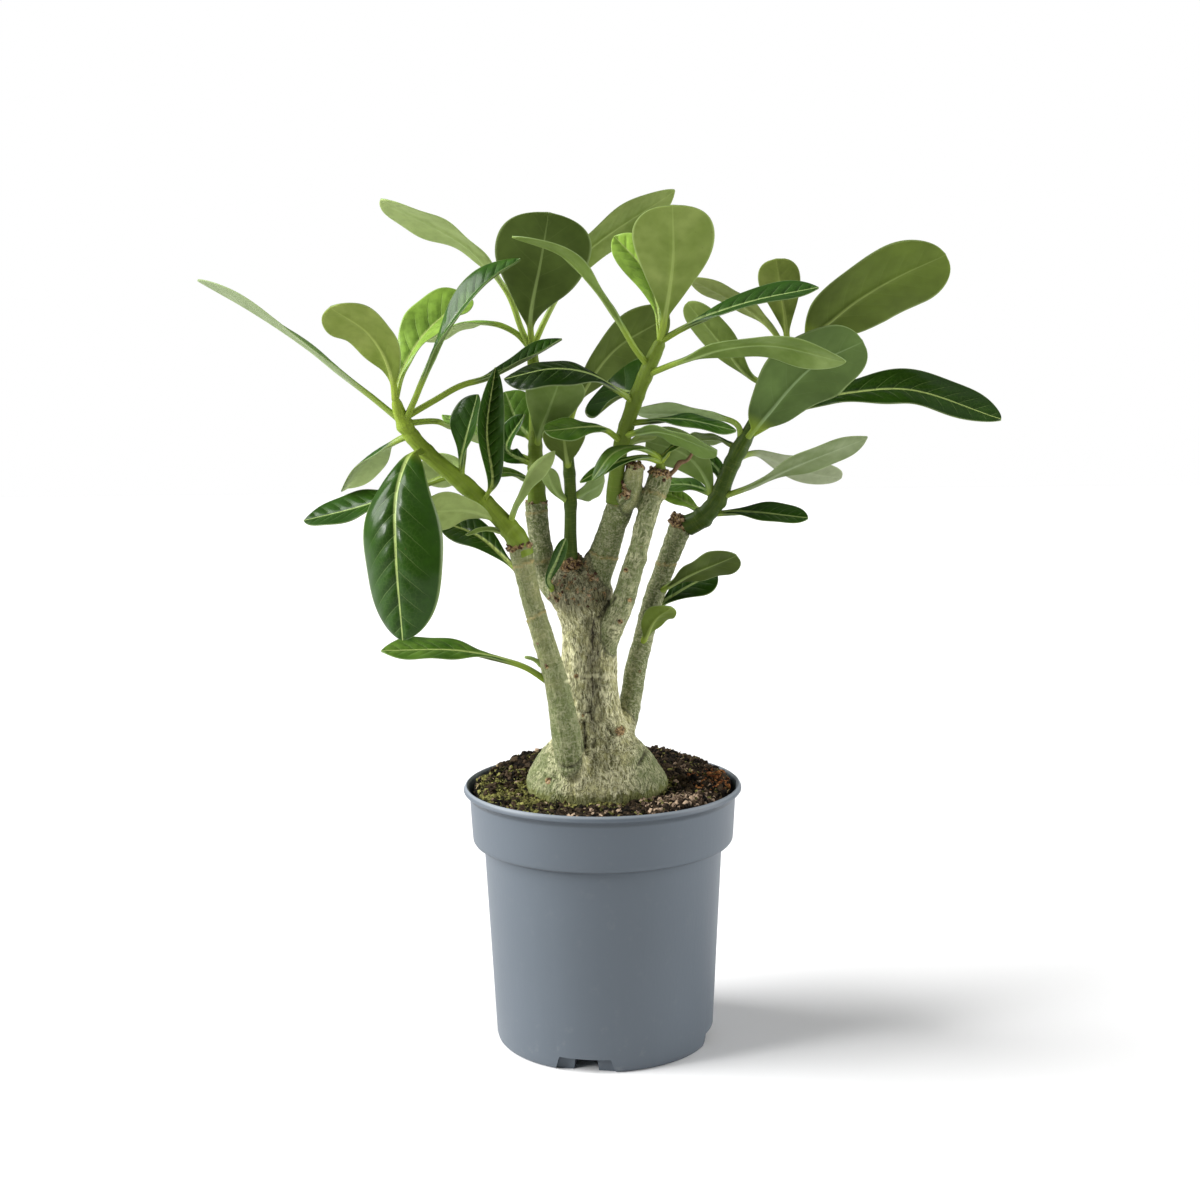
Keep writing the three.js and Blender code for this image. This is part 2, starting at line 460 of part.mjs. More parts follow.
function potSolid() {
  const floor = FLOOR_UNDERSIDE + WALL + 0.2;
  const ring = FOOT_INNER_RADIUS + WALL;
  let pot = turned([
    [0, FLOOR_UNDERSIDE],
    [FOOT_INNER_RADIUS, FLOOR_UNDERSIDE],
    [FOOT_INNER_RADIUS, 0],
    [BODY_FOOT_RADIUS - 2.6, 0],
    [BODY_FOOT_RADIUS - 1, 1],
    [BODY_FOOT_RADIUS - 0.3, 3],
    [BODY_TOP_RADIUS, COLLAR_FOOT - 0.2],
    [BODY_TOP_RADIUS + 2.2, COLLAR_FOOT],
    [RIM_RADIUS - 4, COLLAR_FOOT + 0.9],
    [RIM_RADIUS - 3.4, COLLAR_FOOT + 3],
    [RIM_RADIUS - 2.6, POT_HEIGHT - 7.4],
    [RIM_RADIUS - 1.3, POT_HEIGHT - 3.6],
    [RIM_RADIUS, POT_HEIGHT - 1.3],
    [RIM_RADIUS - 0.5, POT_HEIGHT - 0.2],
    [RIM_RADIUS - 1.4, POT_HEIGHT],
    [RIM_RADIUS - 1.9, POT_HEIGHT - 0.8],
    [RIM_RADIUS - 3.9, POT_HEIGHT - 7.2],
    [RIM_RADIUS - 4.7, COLLAR_FOOT + 3.4],
    [RIM_RADIUS - 6, COLLAR_FOOT + 1.5],
    [BODY_TOP_RADIUS - WALL, COLLAR_FOOT + 1.2],
    [BODY_FOOT_RADIUS - 0.2 - WALL, 4],
    [BODY_FOOT_RADIUS - 2.8, WALL],
    [ring, WALL],
    [ring, floor],
    [0, floor],
  ], POT_FACETS);
  const half = NOTCH_WIDTH / 2;
  const slot = SLOT_WIDTH / 2;
  const outside = RIM_RADIUS;
  for (let i = 0; i < NOTCH_COUNT; i += 1) {
    const turn = NOTCH_TURN + (i * 360) / NOTCH_COUNT;
    const housing = radialBlock(
      [[-half - WALL, 0], [half + WALL, 0], [half + WALL, floor], [-half - WALL, floor]],
      FOOT_INNER_RADIUS + 0.4, BODY_FOOT_RADIUS - 3, turn,
    );
    const notch = radialBlock(
      [[-half - SLOT_SPLAY, -1], [half + SLOT_SPLAY, -1], [half, FLOOR_UNDERSIDE],
        [-half, FLOOR_UNDERSIDE]],
      ring + 0.5, outside, turn,
    );
    const drainSlot = radialBlock(
      [[-slot - SLOT_SPLAY, -1], [slot + SLOT_SPLAY, -1], [slot, FLOOR_UNDERSIDE - 0.4],
        [-slot, FLOOR_UNDERSIDE - 0.4]],
      FOOT_INNER_RADIUS - 4, outside, turn,
    );
    pot = pot.add(housing).subtract(notch).subtract(drainSlot);
  }
  for (let i = 0; i <= NOTCH_COUNT; i += 1) {
    const ringRadius = i === NOTCH_COUNT ? 0 : DRAIN_RING;
    const turn = THREE.MathUtils.degToRad(NOTCH_TURN + ((i + 0.5) * 360) / NOTCH_COUNT);
    const hole = new THREE.CylinderGeometry(DRAIN_RADIUS, DRAIN_RADIUS, 4 * WALL, DRAIN_FACETS);
    hole.rotateX(Math.PI / 2);
    hole.translate(ringRadius * Math.cos(turn), ringRadius * Math.sin(turn), floor - WALL / 2);
    pot = pot.subtract(solidOf(hole));
  }
  return pot;
}

// Even random numbers from 0 to 1, the same on every run.
function seeded(seed) {
  let state = seed;
  return () => {
    state = (state * 16807) % 2147483647;
    return state / 2147483647;
  };
}

function peatHeight(x, y, lump) {
  const back = THREE.MathUtils.smoothstep(y, -10, 50);
  const mounds = MOUNDS.reduce((sum, mound) => {
    const away = Math.hypot(x - mound.x, y - mound.y) / mound.spread;
    return sum + mound.height * Math.exp(-away * away);
  }, 0);
  return PEAT_LEVEL + PEAT_BACK_RISE * back + mounds + lump;
}

function peatSolid(stem) {
  const random = seeded(PEAT_SEED);
  const wallRadii = [
    [BODY_FOOT_RADIUS - 1.6 - GAP, FLOOR_UNDERSIDE + WALL + 0.2 + GAP],
    [BODY_TOP_RADIUS - WALL - GAP, COLLAR_FOOT + 0.6],
    [BODY_TOP_RADIUS - WALL - GAP, COLLAR_FOOT + 2.4],
    [RIM_RADIUS - 5.2 - GAP, COLLAR_FOOT + 4],
  ];
  const ringOf = (radius, height) => {
    const ring = [];
    for (let i = 0; i < POT_FACETS; i += 1) {
      const turn = (i / POT_FACETS) * 2 * Math.PI;
      const x = radius * Math.cos(turn);
      const y = radius * Math.sin(turn);
      ring.push(new THREE.Vector3(x, y, height(x, y)));
    }
    return ring;
  };
  const rings = wallRadii.map(([radius, z]) => ringOf(radius, () => z));
  const lumpy = (x, y) => peatHeight(x, y, (random() * 2 - 1) * PEAT_LUMP);
  for (const radius of PEAT_RINGS) {
    rings.push(ringOf(radius, lumpy));
  }
  return loft(rings, fan(POT_FACETS)).subtract(stem);
}

// The swollen stem, lobed a little, `grow` thicker all round.
function swollenSolid(grow = 0) {
  const rings = SWOLLEN_STEM.map(({ z, x, y, wide, deep }, level) => {
    const end = level === 0 ? -grow : 0;
    const ring = [];
    for (let i = 0; i < STEM_FACETS; i += 1) {
      const turn = (i / STEM_FACETS) * 2 * Math.PI;
      const ripple = Math.cos(3 * turn + 0.2 * level) + 0.5 * Math.cos(5 * turn - 0.3 * level);
      const lobe = 1 + LOBE * ripple;
      const px = x + (wide * lobe + grow) * Math.cos(turn);
      const py = y + (deep * lobe + grow) * Math.sin(turn);
      ring.push(new THREE.Vector3(px, py, z + end));
    }
    return ring;
  });
  return loft(rings, fan(STEM_FACETS));
}

function woodSolid(grow = 0) {
  const branches = Object.values(WOOD).map((branch) => stemSolid(branch, WOOD_FACETS, WOOD_STEP, grow));
  return branches.reduce((sum, branch) => sum.add(branch), swollenSolid(grow));
}

function shootSolid({ path, thick, leaves }) {
  const curve = curveThrough(path);
  const stem = stemSolid({ path, thick }, SHOOT_FACETS, SHOOT_STEP);
  const blades = leaves.map((leaf) => leafSolid(curve.getPointAt(leaf.at).toArray(), leaf));
  return blades.reduce((sum, blade) => sum.add(blade), stem);
}

const wood = woodSolid();
const grownWood = woodSolid(GAP);

const plant = new THREE.Group();
plant.add(meshOf('pot', potSolid(), PLASTIC));
plant.add(meshOf('peat', biggest(peatSolid(grownWood)), PEAT));
plant.add(meshOf('wood', wood, BARK));
for (const [name, shoot] of Object.entries(SHOOTS)) {
  plant.add(meshOf(name, biggest(shootSolid(shoot).subtract(grownWood)), LEAF));
}
for (const [name, leaf] of Object.entries(LONE_LEAVES)) {
  const material = name.includes('dark') ? LEAF_DARK : LEAF;
  plant.add(meshOf(name, biggest(leafSolid(leaf.root, leaf).subtract(grownWood)), material));
}
plant.add(meshOf('dry_stalk', biggest(stemSolid(DRY_STALK, SHOOT_FACETS, 6).subtract(grownWood)), HUSK));

export default plant;
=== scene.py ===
import math
from types import SimpleNamespace

import bpy
import numpy as np
from mathutils import Matrix, Vector, noise


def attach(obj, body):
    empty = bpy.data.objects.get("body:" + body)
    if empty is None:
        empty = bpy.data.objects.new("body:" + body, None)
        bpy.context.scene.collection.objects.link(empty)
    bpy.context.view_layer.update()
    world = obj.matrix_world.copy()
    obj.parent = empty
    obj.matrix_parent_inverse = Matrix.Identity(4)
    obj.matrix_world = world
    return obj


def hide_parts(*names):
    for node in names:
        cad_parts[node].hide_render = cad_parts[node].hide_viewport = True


bl_info = {
    "name": "Potted desert rose",
    "version": (1, 0, 0),
    "blender": (4, 5, 0),
    "location": "3D View > Sidebar > Desert rose",
    "description": "Dresses the solid model of a desert rose in its nursery pot",
    "category": "Object",
}

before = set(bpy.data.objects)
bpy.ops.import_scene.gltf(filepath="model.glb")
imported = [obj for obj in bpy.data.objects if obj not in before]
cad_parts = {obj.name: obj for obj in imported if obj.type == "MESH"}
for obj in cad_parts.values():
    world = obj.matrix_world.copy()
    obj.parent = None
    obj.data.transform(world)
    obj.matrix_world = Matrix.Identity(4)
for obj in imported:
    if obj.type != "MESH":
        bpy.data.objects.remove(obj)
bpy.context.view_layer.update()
MM = 0.001

# Pot outline as radius and height, from the middle of the underside round the lip to the inside. Millimetres.
POT_OUTLINE = [
    (0, 6), (37.5, 6), (37.5, 0.3), (37.9, 0), (45.2, 0), (46.2, 0.3), (46.9, 1.1), (47.4, 3), (51.6, 87.4),
    (51.7, 87.9), (52.4, 88), (54.9, 88.1), (55.8, 88.5), (56.3, 89.3), (56.5, 90.8), (57.4, 107.2), (57.7, 108.6),
    (58.4, 109.5), (59.5, 110.2), (60, 110.8), (60, 111.5), (59.4, 112.6), (58.9, 113), (58.4, 112.8),
    (58, 112.2), (57.2, 109.8), (56.3, 106.6), (56.0, 105.4), (55.3, 91.6), (54.9, 90.3), (54, 89.5),
    (50.5, 89.2), (50.4, 88.6), (46.3, 4.2), (46, 2.4), (45.2, 1.3), (38.8, 1.3), (38.8, 7.4), (38.3, 7.5),
    (0, 7.5),
]
POT_FACETS = 192
POT_SHARP = 38
# Foot of the pot: the turn of the first notch in degrees, then the housing, the notch and the slot of the inner
# ring, each as splay, low, high, near and far. The drain holes have a radius, a distance from the middle, and a low
# and a high end.
NOTCH_TURN = -100.6
HOUSING_MARGIN = 2.6
FOOT_HOUSING = (0, 0.05, 7.45, 37.9, 44.8)
FOOT_NOTCH = (2.2, -1, 6, 43.2, 60)
FOOT_SLOT = (1, -1.3, 5.6, 33, 46)
DRAIN_RADIUS = 4
DRAIN_DISTANCE = 25
DRAIN_LOW, DRAIN_HIGH = 4, 9
DRAIN_FACETS = 24
# Heights in metres: where a painted highlight runs pale along the lip, and where painted shade darkens under the lip
# and under the collar and fades.
LIP_HIGHLIGHT_HEIGHTS = (0.1117, 0.1126)
UNDER_LIP_COLLAR_SHADE = ((0.1075, 0.1086, 0.1102, 0.1108), (0.0862, 0.0878, 0.0884, 0.0892))

# Peat: level, rise at the back, and low mounds (x, y, height, spread).
PEAT_LEVEL = 108.8
PEAT_BACK_RISE = 8.4
PEAT_MOUNDS = [(34, -33, 4.4, 14), (50, 0, 4.4, 16), (-42, -26, 2.8, 12), (-51, -4, 3.8, 14)]
PEAT_RADIUS = 55.6
PEAT_FACETS = 220
# Where the peat can be seen: above a height, within a radius, and outside the stem (centre x and y, half width,
# half depth).
PEAT_SEEN_ABOVE, PEAT_SEEN_WITHIN = 106, 54.4
STEM_IN_PEAT = (-2.9, 1, 29.5, 25.5)
# The hidden sides of the peat, as radius and height.
PEAT_WALL = [(3, 7.9), (30, 7.9), (45.5, 7.9), (48.6, 60), (50, 88.6), (50.2, 90.4), (54.4, 92), (55.2, 100)]
# Where the grit, the rust and the moss lie on it: centre x and y, and the square of the half width. The moss at the
# left has a half width and a half depth.
GRIT_HEAP, GRIT_FRONT = (33, -31, 169), (-6, -46, 80)
RUST_HEAP, MOSS_BACK = (49, 2, 81), (-10, 46, 289)
MOSS_LEFT = (-40, -16, 17, 26)
# What lies on the peat: the mark that it follows, its finish, facets, roughness, grains for each crumb, smallest
# and largest size in metres, how deep it sinks and how long it is.
STREWN = {
    "peat_crumbs": ("crumb", "peat crumbs", 6, 0.8, 1, 0.0008, 0.004, 0.0, 1.0),
    "peat_grit": ("grit", "pale grit", 6, 1.0, 1.5, 0.0008, 0.0036, -0.1, 1.0),
    "peat_moss": ("moss", "moss tufts", 6, 1.2, 4, 0.0006, 0.003, -0.2, 0.8),
    "peat_fibres": ("fibre", "old fibres", 4, 0.3, 0.16, 0.0005, 0.0012, 1.6, 5.0),
    "peat_rust": ("rust", "rusty fibres", 6, 0.8, 2.6, 0.0006, 0.0022, 0.3, 2.0),
}

# Swollen stem: height, centre x and y, half width, half depth.
SWOLLEN_STEM = np.array([
    (38, -2, 1, 4, 4), (58, -2, 1, 11, 10), (80, -2, 1, 21, 19), (97, -2.4, 1, 28, 25),
    (108, -2.8, 1, 30.8, 26.6), (115, -3, 1, 30.6, 26.4), (121, -3.2, 1, 27.2, 24.2),
    (127, -3, 0.6, 22.8, 20.6), (133, -3.2, 0.2, 17.6, 17), (141, -4, -0.4, 14, 13.6),
    (152, -4.6, -0.8, 12.2, 12), (168, -4.8, -1, 11.7, 11.4), (182, -5, -1, 12, 11.2),
    (191, -7, -1, 13.4, 11.6), (200, -8.6, -1, 13.2, 11.4), (206, -9.6, -2, 10.4, 9),
])

STEM_FACETS = 96
STEM_TRAITS = (0.35, 0.15, 0.15, 1.0)

# Woody branches: centre line, radii, and how green, ringed, flecked and wrinkled the bark is.
BRANCH_FACETS = 28
BRANCHES = {
    "front_left": ([(-8, -10, 114), (-12.6, -18.6, 124), (-14.4, -21.6, 135), (-15.8, -22, 143),
        (-18, -21.5, 157), (-21.6, -21, 171), (-27.5, -20, 191), (-30.8, -20, 205),
        (-33.6, -20, 219.4)],
        [6, 6.6, 6.6, 6.2, 5.3, 4.8, 4.4, 4.4, 4.7], (0.62, 0.25, 0.14, 0.18)),
    "back_left": ([(-9, -1, 192), (-17, 1, 195.6), (-23, 3, 203), (-25, 3, 214), (-26.6, 4, 225), (-27, 4, 235)],
        [6, 6.2, 5.2, 4.9, 4.8, 4.8], (0.9, 0.3, 0.7, 0.3)),
    "head_stump": ([(-10, -3, 202), (-12, -4, 208), (-12.6, -4, 211)], [6, 4.8, 4.2], (0.1, 0.1, 0.1, 0.5)),
    "centre": ([(-4, -2, 193), (-2.2, -3, 203), (2, -4, 214), (5.6, -5.6, 225), (9.4, -8, 235),
        (10.8, -9.6, 239.6)], [7.4, 7, 6.3, 5.6, 5.8, 6.3], (1.25, 0.2, 0.5, 0.2)),
    "centre_stump": ([(11, -10, 234), (13.6, -12, 244), (15, -13, 251.6)], [4.4, 4.4, 3.8], (0.6, 0.1, 0.3, 0.1)),
    "centre_right": ([(0, -3, 170), (3.4, -7.4, 180), (9, -12, 193), (12.6, -13, 205), (15.6, -13, 214.6),
        (18.4, -12, 225), (21.4, -11, 235.6), (24.4, -10, 242), (25.8, -10, 248.6)],
        [6, 5.6, 5, 4.7, 4.4, 4.2, 4.2, 5.3, 4.8], (1.2, 0.4, 0.14, 0.5)),
    "right": ([(5.6, 3, 124), (10, 8, 136), (12.4, 11, 146), (14.6, 12.6, 158), (18, 14, 171.6), (22.4, 14, 189),
        (26.6, 14, 200.6), (31, 13, 212.6), (36.4, 12, 226.5)],
        [6, 5.2, 4.8, 4.8, 4.5, 4.3, 4.4, 4.7, 5.3], (1.1, 0.3, 0.6, 0.25)),
}

# Leaves. A leaf stands on its stem at a share of the stem's length, or at a point, and its rib runs through the
# points to its tip. Then come its full width and the way its upper side looks. `fold` raises the halves, in
# degrees, `bow` bends the edges back, `belly` is where it is widest, `blunt` how round the tip is and `stalk` the
# bare share. `tone` is how light its green is, one value or one below and one above, and `warm` runs from grey over
# bluish to yellowish green. `notch` is how far the tip is nicked and `vein` how strong its veins are.
LEAF_MARKS = ("blade", "look", "trim", "span")
STALK_THICK = 2.4
STALK_HALF = 1.3
BLADE = 0.9
VEIN_LEAN = 0.8
VEIN_BEND = 0.012
VEIN_GAP = 0.27
RIB_GROOVE = 0.45
RIB_RIDGE = 1.0
QUILT_HEIGHT = 0.09
EDGE_WAVE = 0.035
DARK_LEAF = 0.7
# Green stems: how much slimmer they grow, over which lengths, and how much they swell at a leaf.
STEM_SLIMMING = 0.12
SLIMMING_FROM, SLIMMING_TO = 2, 14
KNOT_SWELL = 0.1


def leaf(at, rib, wide, face, fold=0, bow=0, belly=0.7, blunt=0.8, stalk=0.12, tone=0.5, warm=0.5, notch=0,
         vein=0.6):
    return SimpleNamespace(at=at, rib=rib, wide=wide, face=face, fold=fold, bow=bow, belly=belly, blunt=blunt,
                           stalk=stalk, tone=tone, warm=warm, notch=notch, vein=vein)


SHOOTS = {
    "shoot_left": (
        [(-31.8, -20, 214), (-34.4, -20, 221), (-39, -20.4, 227), (-49, -21.4, 238), (-59, -23, 247.4),
         (-69.4, -26, 256.6), (-77, -29, 266), (-80.6, -31, 274), (-82, -33, 281)],
        [4.6, 4.6, 4.4, 4, 3.9, 3.8, 3.4, 3, 2.6], 0.9, [
        leaf(0.86, [(-99.6, -30, 287), (-120, -26, 302.6), (-141, -20, 316), (-164, -12, 328.4)], 23,
            (0.35, 0.14, 0.87), fold=12, blunt=0.2, stalk=0.16, tone=(0.75, 0.85), warm=0.17),
        leaf(0.98, [(-83, -39, 293), (-90, -45, 306), (-103.4, -56, 316)], 26, (0.5, 0.8, 0.3), fold=-6, blunt=1,
            tone=(0.56, 0.6), warm=0.72),
        leaf(0.98, [(-78.6, -26, 292), (-72.6, -18, 303.6), (-64, -11, 312.6), (-53, -5, 320)], 26,
            (-0.5, -0.78, 0.38), fold=24, tone=(0.6, 0.86), warm=0.62, vein=0.8),
        leaf(0.86, [(-74, -34, 279), (-67, -39, 294), (-58, -45, 309), (-44, -46, 325), (-30, -44, 334)], 19,
            (-0.74, -0.4, 0.5), fold=20, blunt=0.2, stalk=0.2, tone=(0.25, 0.48), warm=0.35, vein=0.85),
        leaf(0.88, [(-66, -26, 279), (-57, -22, 284), (-46, -18, 287.6), (-30, -12, 295), (-15, -8, 303)], 14,
            (-0.25, -0.3, 0.92), fold=22, blunt=0.1, stalk=0.42, tone=(0.1, 0.3), vein=0.8),
        leaf(0.86, [(-66, -22, 270), (-58, -14, 266), (-51, -4, 261)], 12, (0, -0.2, 1), stalk=0.4, tone=(0.95, 1)),
        leaf(0.8, [(-84, -24, 262), (-95, -10, 256), (-108, 8, 241)], 20, (-0.6, 0.5, 0.62), fold=-22,
            tone=(0.9, 0.5), warm=0.42),
        leaf(0.7, [(-76, -42, 256), (-80, -54, 242.6), (-80, -61, 220), (-78, -62, 186)], 35.6, (-0.45, -1, 0.9),
            fold=12, bow=0.55, belly=0.6, blunt=0.7, stalk=0.1, tone=(0.4, 0.32), warm=0.56, vein=1),
        leaf(0.52, [(-98, -11, 235), (-125, -4, 228)], 22, (0.1, -0.5, 0.85), fold=8, blunt=0.2, tone=(0.3, 0.38),
            warm=0.45, vein=0.9),
        leaf(0.44, [(-61, -10, 252), (-73, 0, 243)], 20, (-0.2, 0.8, 0.5), tone=(0.88, 0.7), warm=0.45),
        leaf(0.18, [(-53, -26, 234), (-75, -34, 234)], 20, (-0.2, 0.8, 0.6), fold=-6, blunt=0.6, tone=(0.76, 0.6),
            warm=0.52),
        leaf(0.12, [(-47, -24, 226), (-55, -28, 224)], 5, (0, 0.5, 0.8), tone=0.34),
        leaf(0.33, [(-44, -30, 246), (-45, -38, 267), (-41, -40, 292)], 17, (0.3, -0.9, 0.2), fold=50, belly=0.55,
            blunt=0.4, tone=(0.6, 0.25), warm=0.65, vein=0.95),
        leaf(0.47, [(-55, -27, 259), (-49, -26, 281)], 19, (-0.62, -0.6, 0.3), fold=24, blunt=0.4, tone=(0.35, 0.38),
            warm=0.55),
        leaf(0.16, [(-34, -25, 236), (-28, -29, 248), (-18, -31, 258)], 10, (0.6, 0.6, -0.3), fold=20, blunt=0.2,
            tone=(0.76, 0.6), warm=0.48),
    ]),
    "shoot_tall": (
        [(-26.6, 4, 230), (-27, 4, 240), (-27, 4, 252), (-27, 5, 268), (-27, 6, 284), (-28, 6, 300)],
        [4.4, 4, 3.4, 3.1, 3, 2.8], 0.52, [
        leaf(0.97, [(-32, 4, 307), (-37.6, -2, 322.6), (-52, -11, 340.4), (-86, -30, 358.6)], 24, (0.45, 0.45, 0.75),
            fold=-8, blunt=0.5, stalk=0.3, tone=(1, 0.9), warm=0.48),
        leaf(0.99, [(-28, -4, 312), (-22.4, -26, 336), (-19, -36, 352.4)], 39, (0, 0.75, 0.65), fold=-8, belly=0.76,
            blunt=1, notch=0.05, tone=(0.14, 0.3)),
        leaf(0.98, [(-35, 6, 306), (-46, 5, 310.4), (-58, 8, 310), (-74, 12, 303)], 17, (0.1, 0.06, 0.99), fold=-14,
            stalk=0.34, tone=(0.88, 1), warm=0.42),
        leaf(0.99, [(-18, 12, 320), (-6, 17, 339), (33, 15, 365)], 26, (-0.6, 0.55, 0.6), fold=-8, blunt=0.3,
            tone=(0.58, 0.5), warm=0.6),
        leaf(0.36, [(-25, 0, 264), (-21, -6, 274), (-15, -14, 289)], 25, (0, 0.8, 0.6), belly=0.76, blunt=1,
            tone=(0.54, 0.4), warm=0.42),
        leaf(0.42, [(-34, 8, 267), (-40, 14, 281)], 20, (0, -0.8, 0.5), tone=(0.5, 0.66), warm=0.45),
        leaf(0.28, [(-39, 3, 257), (-31, -3, 272)], 12, (-0.5, -0.7, 0.35), fold=30, belly=0.55, blunt=0.4,
            tone=(0.3, 0.34)),
        leaf(0.17, [(-36, -4, 247), (-47, -12, 248)], 12, (0, -0.45, 0.9), fold=10, tone=(0.5, 0.66), warm=0.55),
        leaf(0.3, [(-47, 14, 260), (-68, 22, 271)], 14, (0, -0.3, 0.95), blunt=0.1, tone=(0.5, 0.9), warm=0.4),
    ]),
    "shoot_centre": (
        [(-12.6, -4, 210), (-12.4, -5, 228), (-12.6, -5, 247), (-13.5, -4, 261)],
        [3.1, 2.9, 2.8, 2.6], 0.1, [
        leaf(0.75, [(-14, -10, 257), (-15, -15, 268)], 18, (0, 0.8, 0.6), belly=0.74, blunt=1, tone=(0.26, 0.3),
            warm=0.6),
        leaf(0.52, [(-4, 2, 240), (2, 7, 243)], 15, (0.2, 0.8, 0.55), blunt=1, tone=(0.74, 0.5), warm=0.36),
        leaf(0.48, [(-18, -8, 240), (-22, -11, 250)], 8, (0.3, 0.8, 0.3), tone=(0.6, 0.5), warm=0.45),
        leaf(0.98, [(-10, 8, 275), (6, 21, 298), (31, 31, 313)], 27, (-0.35, 0.8, 0.5), fold=-8, stalk=0.24,
            tone=(0.26, 0.3), warm=0.6),
    ]),
    "shoot_crown": (
        [(6.4, -10, 235), (7, -11.8, 246), (9.2, -14.4, 260), (14.4, -18, 276), (20.6, -22, 291),
         (26, -25, 303)],
        [3.8, 3.6, 3.5, 3.5, 3.4, 3], 0.46, [
        leaf(0.98, [(27, -30, 312), (29.6, -45, 333), (29, -58, 353)], 32, (0, 0.75, 0.6), belly=0.76, blunt=1,
            tone=(0.58, 0.5), warm=0.62),
        leaf(0.82, [(14.6, -28, 299), (7, -37, 312), (-3, -45, 325), (-14, -51, 335.5), (-32.8, -54.5, 342)], 20,
            (0.6, 0.14, 0.78), fold=8, blunt=0.3, stalk=0.22),
        leaf(0.98, [(23.6, -20, 317), (18.6, -15, 331), (7, -10, 344.4)], 18, (-0.2, -0.84, 0.4), fold=30, blunt=0.3,
            tone=(0.6, 1), warm=0.65),
        leaf(0.98, [(41, -31, 310), (62, -35, 317), (88, -35, 322)], 20, (-0.2, -0.42, 0.88), fold=12, blunt=0.2,
            tone=(0.15, 0.42), warm=0.45, vein=0.8),
        leaf(0.77, [(34, -34, 294), (48, -42, 298.6), (68.2, -49, 300), (96.4, -55, 293)], 24, (0.1, 0.42, 0.9),
            fold=-10, blunt=0.45, stalk=0.16, warm=0.45),
        leaf(0.6, [(5, -27, 284), (-4, -32, 289), (-18, -35, 291), (-38, -32, 287)], 21, (0, -0.52, 0.85), fold=-12,
            blunt=0.3, tone=0, vein=0.95),
        leaf(0.66, [(12, -6, 281), (3, 4, 284)], 38, (0, -0.85, 0.55), fold=4, tone=(0.25, 0.2)),
        leaf(0.47, [(33, -24, 270), (56, -25, 265)], 18, (0, -0.3, 0.95), blunt=0.3, tone=(0.1, 0.5), warm=0.4),
        leaf(0.4, [(25, -31, 266), (47, -42, 258)], 20, (0.1, 0.45, 0.9), fold=-12, blunt=1, tone=(0.42, 0.4),
            warm=0.35),
        leaf(0.27, [(14, -9, 260.6), (24, -5, 262)], 13, (0, 0.4, 0.9), tone=(0.6, 0.5), warm=0.55),
        leaf(0.36, [(0, -27, 267), (-22, -34, 266)], 18, (0, -0.45, 0.9), stalk=0.3, tone=(0.05, 0.55), warm=0.55),
    ]),
    "shoot_bud": (
        [(25.8, -10, 246), (25.2, -11.6, 254.5)],
        [2.4, 1.8], 0.6, [
        leaf(0.9, [(17, -23, 258.6), (6, -32, 257), (-3, -34, 246)], 8, (0, -0.5, 0.85), blunt=0.3, tone=(0.5, 0.6),
            warm=0.55, vein=0.1),
        leaf(0.72, [(17, -19, 254.6), (4, -25, 251.4), (-8, -28, 245)], 7, (0, -0.5, 0.85), blunt=0.3,
            tone=(0.35, 0.5), warm=0.6, vein=0.1),
        leaf(0.7, [(30, -14, 258), (35, -16, 260)], 8, (0, -0.4, 0.9), tone=(0.5, 0.52), warm=0.9),
    ]),
    "shoot_right": (
        [(37.6, 11, 223), (43.6, 8, 226.6), (50, 5, 234), (54, 4, 244), (58, 4, 253), (62, 5, 260),
         (68, 12, 270), (74, 20, 281), (79, 26, 290), (83, 30, 298)],
        [4.6, 4.4, 4.2, 4, 3.8, 3.5, 3, 2.7, 2.6, 2.4], 0.08, [
        leaf(0.46, [(71, -3, 272), (88, -14, 291), (108, -20, 301)], 39, (-0.3, 0.8, 0.5), fold=-5, belly=0.62,
            blunt=1, tone=(0.32, 0.4), warm=0.23),
        leaf(0.49, [(91.8, 13, 275), (111, 11, 279.4), (132.6, 5, 280), (166.6, -13, 268)], 27, (0, -0.54, 0.84),
            fold=14, bow=0.1, belly=0.62, blunt=0.6, stalk=0.2, tone=(0.3, 0.15), warm=0.6, vein=0.9),
        leaf(0.99, [(93, 27, 304.6), (111, 16, 319), (127, 8, 328.4), (145, 0, 336.4)], 43, (-0.35, 0.75, 0.55),
            fold=-5, belly=0.6, blunt=1, tone=(0.35, 0.4), warm=0.65),
        leaf(0.99, [(81, 26, 311), (76, 16, 336)], 18, (0.1, 0.9, 0.3), belly=0.76, blunt=1, tone=(0.55, 0.6),
            warm=0.72),
        leaf(0.97, [(76, 27, 306), (66, 25, 315), (40, 14, 328)], 15, (0.4, 0.5, 0.75), tone=(0.8, 0.6), warm=0.65),
        leaf(0.79, [(66, 17, 286), (50, 11, 304), (38, 7, 318)], 19, (0.4, 0.6, 0.65), tone=(0.52, 0.5), warm=0.55),
        leaf(0.44, [(59, 6, 266), (43, 9, 271), (16, 10, 272)], 18, (0, 0.42, 0.9), stalk=0.24, tone=(1, 0.6),
            warm=0.3),
        leaf(0.43, [(52, 16, 260), (40, 26, 259)], 14, (0, 0.5, 0.85)),
        leaf(0.15, [(46, 5, 243), (37, 7, 254), (20, 8, 260)], 20, (0.35, 0.85, 0.35), tone=(0.55, 0.5), warm=0.4),
        leaf(0.25, [(50, 12, 248), (37, 16, 257)], 13, (0.3, -0.6, 0.6), tone=(0.5, 0.52), warm=0.35),
        leaf(0.2, [(62, -2, 240), (80, -12, 249.6), (110, -22, 262)], 17, (-0.2, 0.66, 0.72), fold=-8, blunt=0.2,
            tone=(0.55, 0.6), warm=0.15),
        leaf(0.38, [(67, 10, 254), (80, 17, 249), (93, 22, 244.6), (106, 26, 242)], 15, (0.2, 0.75, 0.65), blunt=0.9,
